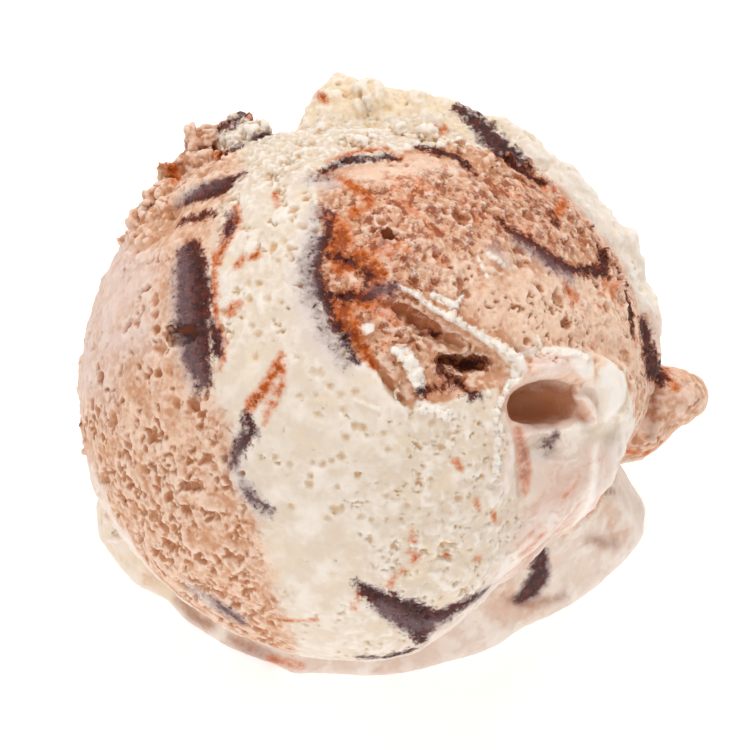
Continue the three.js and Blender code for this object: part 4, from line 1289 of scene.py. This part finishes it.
def ice_cream_material(colours):
    """Churned ice cream, rolled and torn: matt and crumbly, glossier where it has begun to melt.

    Light enters it a little, so edges glow and pits stay warm; warm shade is painted into its pits
    and a pale highlight onto its raised grains. Dark chocolate ribbons run through it with rusty
    edges, and ice bloom greys them.
    """
    name = "marbled ice cream"
    if name in bpy.data.materials:
        return bpy.data.materials[name]
    material = bpy.data.materials.new(name)
    material.use_nodes = True
    tree = material.node_tree
    tree.nodes.clear()
    layers = IceCreamLayers(tree, colours)
    roughness = layers.add("ramp", layers.melt, 0.0, 1.0, DRY_ROUGHNESS, MELTED_ROUGHNESS)
    shader = add_node(tree, "shader", layers.colour(), roughness, layers.normal())
    for socket, value in ICE_CREAM_SURFACE.items():
        shader.inputs[socket].default_value = value
    add_node(tree, "output", shader.outputs["BSDF"])
    return material


def floor_material(colours):
    """Matt white acrylic with a faint glow: it keeps the underside of the scoop from going dark."""
    material = bpy.data.materials.new("lit white acrylic")
    material.use_nodes = True
    tree = material.node_tree
    shader = tree.nodes["Principled BSDF"]
    shader.inputs["Base Color"].default_value = (*colours.floor, 1.0)
    shader.inputs["Emission Color"].default_value = (*colours.floor, 1.0)
    shader.inputs["Emission Strength"].default_value = FLOOR_GLOW
    spot = add_node(tree, "place").outputs["Object"]
    waver = add_node(tree, "noise", spot, 1 / FLOOR_MOTTLE, 2.0).outputs["Fac"]
    rough = add_node(tree, "ramp", waver, 0.0, 1.0, 0.7, 0.8, interpolation_type="LINEAR")
    tree.links.new(rough.outputs["Result"], shader.inputs["Roughness"])
    return material


# ---------------------------------------------------------------------------------------------
# Stage.

CAMERA_OFFSET = (1.0, 2.0)  # mm from the ball's centre to the middle of the view, right and up
SENSOR_WIDTH = 36.0  # mm
FLOOR_SIZE = 4.0  # m
LIGHT_TARGET = (0, 0, 0.025)  # m, the scoop's middle
KEY_LIGHTS = [
    # name, azimuth and elevation in degrees, distance and size in metres, power in watts
    ("overhead softbox", 15.0, 52.0, 0.8, 0.45, 3.3),
    ("left softbox", -80.0, 35.0, 0.9, 0.5, 0.8),
    ("front softbox", 190.0, 42.0, 0.9, 0.6, 2.5),
]
WORLD_STRENGTH = 0.52


def aim(thing, place, target):
    thing.location = place
    thing.rotation_euler = (Vector(target) - Vector(place)).to_track_quat("-Z", "Y").to_euler()


class SCOOP_OT_stage(bpy.types.Operator):
    """Adds the white floor, the soft lights and the camera."""
    bl_idname = "scoop.stage"
    bl_label = "Stage"

    def execute(self, context):
        scene = context.scene
        sizes, colours = scene.scoop_sizes, scene.scoop_colours
        deselect_all()
        bpy.ops.mesh.primitive_plane_add(size=FLOOR_SIZE, location=(0, 0, 0))
        floor = context.object
        floor.name = "floor"
        floor.data.materials.append(floor_material(colours))
        elevation = sizes.camera_elevation
        towards = Vector((0, -math.cos(elevation), math.sin(elevation)))
        up = Vector((0, math.sin(elevation), math.cos(elevation)))
        aside, above = CAMERA_OFFSET
        middle = Vector(BALL_CENTRE * MM) + Vector((aside * MM, 0, 0)) + up * above * MM
        bpy.ops.object.camera_add()
        camera = context.object
        camera.name = "camera"
        camera.data.sensor_width = SENSOR_WIDTH
        camera.data.lens = SENSOR_WIDTH * sizes.camera_distance / sizes.frame_width
        camera.data.clip_start = 0.01
        aim(camera, middle + towards * sizes.camera_distance, middle)
        scene.camera = camera
        for name, azimuth, height, distance, size, power in KEY_LIGHTS:
            bpy.ops.object.light_add(type="AREA")
            light = context.object
            light.name = name
            light.data.size = size
            light.data.energy = power
            turn, rise = math.radians(azimuth), math.radians(height)
            level = math.cos(rise)
            place = Vector((math.sin(turn) * level, math.cos(turn) * level, math.sin(rise))) * distance
            aim(light, place, LIGHT_TARGET)
        world = bpy.data.worlds.new("studio")
        world.use_nodes = True
        world.node_tree.nodes["Background"].inputs["Color"].default_value = (1, 1, 1, 1)
        world.node_tree.nodes["Background"].inputs["Strength"].default_value = WORLD_STRENGTH
        scene.world = world
        scene.view_settings.view_transform = "Standard"
        return {"FINISHED"}


class SCOOP_PT_panel(bpy.types.Panel):
    """Lists the sizes, the colours and the steps that make the scoop."""
    bl_label = "Scoop of ice cream"
    bl_idname = "SCOOP_PT_panel"
    bl_space_type = "VIEW_3D"
    bl_region_type = "UI"
    bl_category = "Scoop"

    def draw(self, context):
        layout = self.layout
        for group in (context.scene.scoop_sizes, context.scene.scoop_colours):
            for name in group.bl_rna.properties.keys():
                if name not in ("rna_type", "name"):
                    layout.prop(group, name)
        layout.operator(SCOOP_OT_stage.bl_idname)
        layout.operator(SCOOP_OT_skin.bl_idname)


CLASSES = (ScoopColours, ScoopSizes, SCOOP_OT_skin, SCOOP_OT_stage, SCOOP_PT_panel)


def register():
    for kind in CLASSES:
        bpy.utils.register_class(kind)
    bpy.types.Scene.scoop_colours = PointerProperty(type=ScoopColours)
    bpy.types.Scene.scoop_sizes = PointerProperty(type=ScoopSizes)


def unregister():
    del bpy.types.Scene.scoop_sizes
    del bpy.types.Scene.scoop_colours
    for kind in reversed(CLASSES):
        bpy.utils.unregister_class(kind)


def main():
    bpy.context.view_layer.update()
    register()
    bpy.ops.scoop.stage()
    bpy.ops.scoop.skin()


if __name__ == "__main__":
    main()
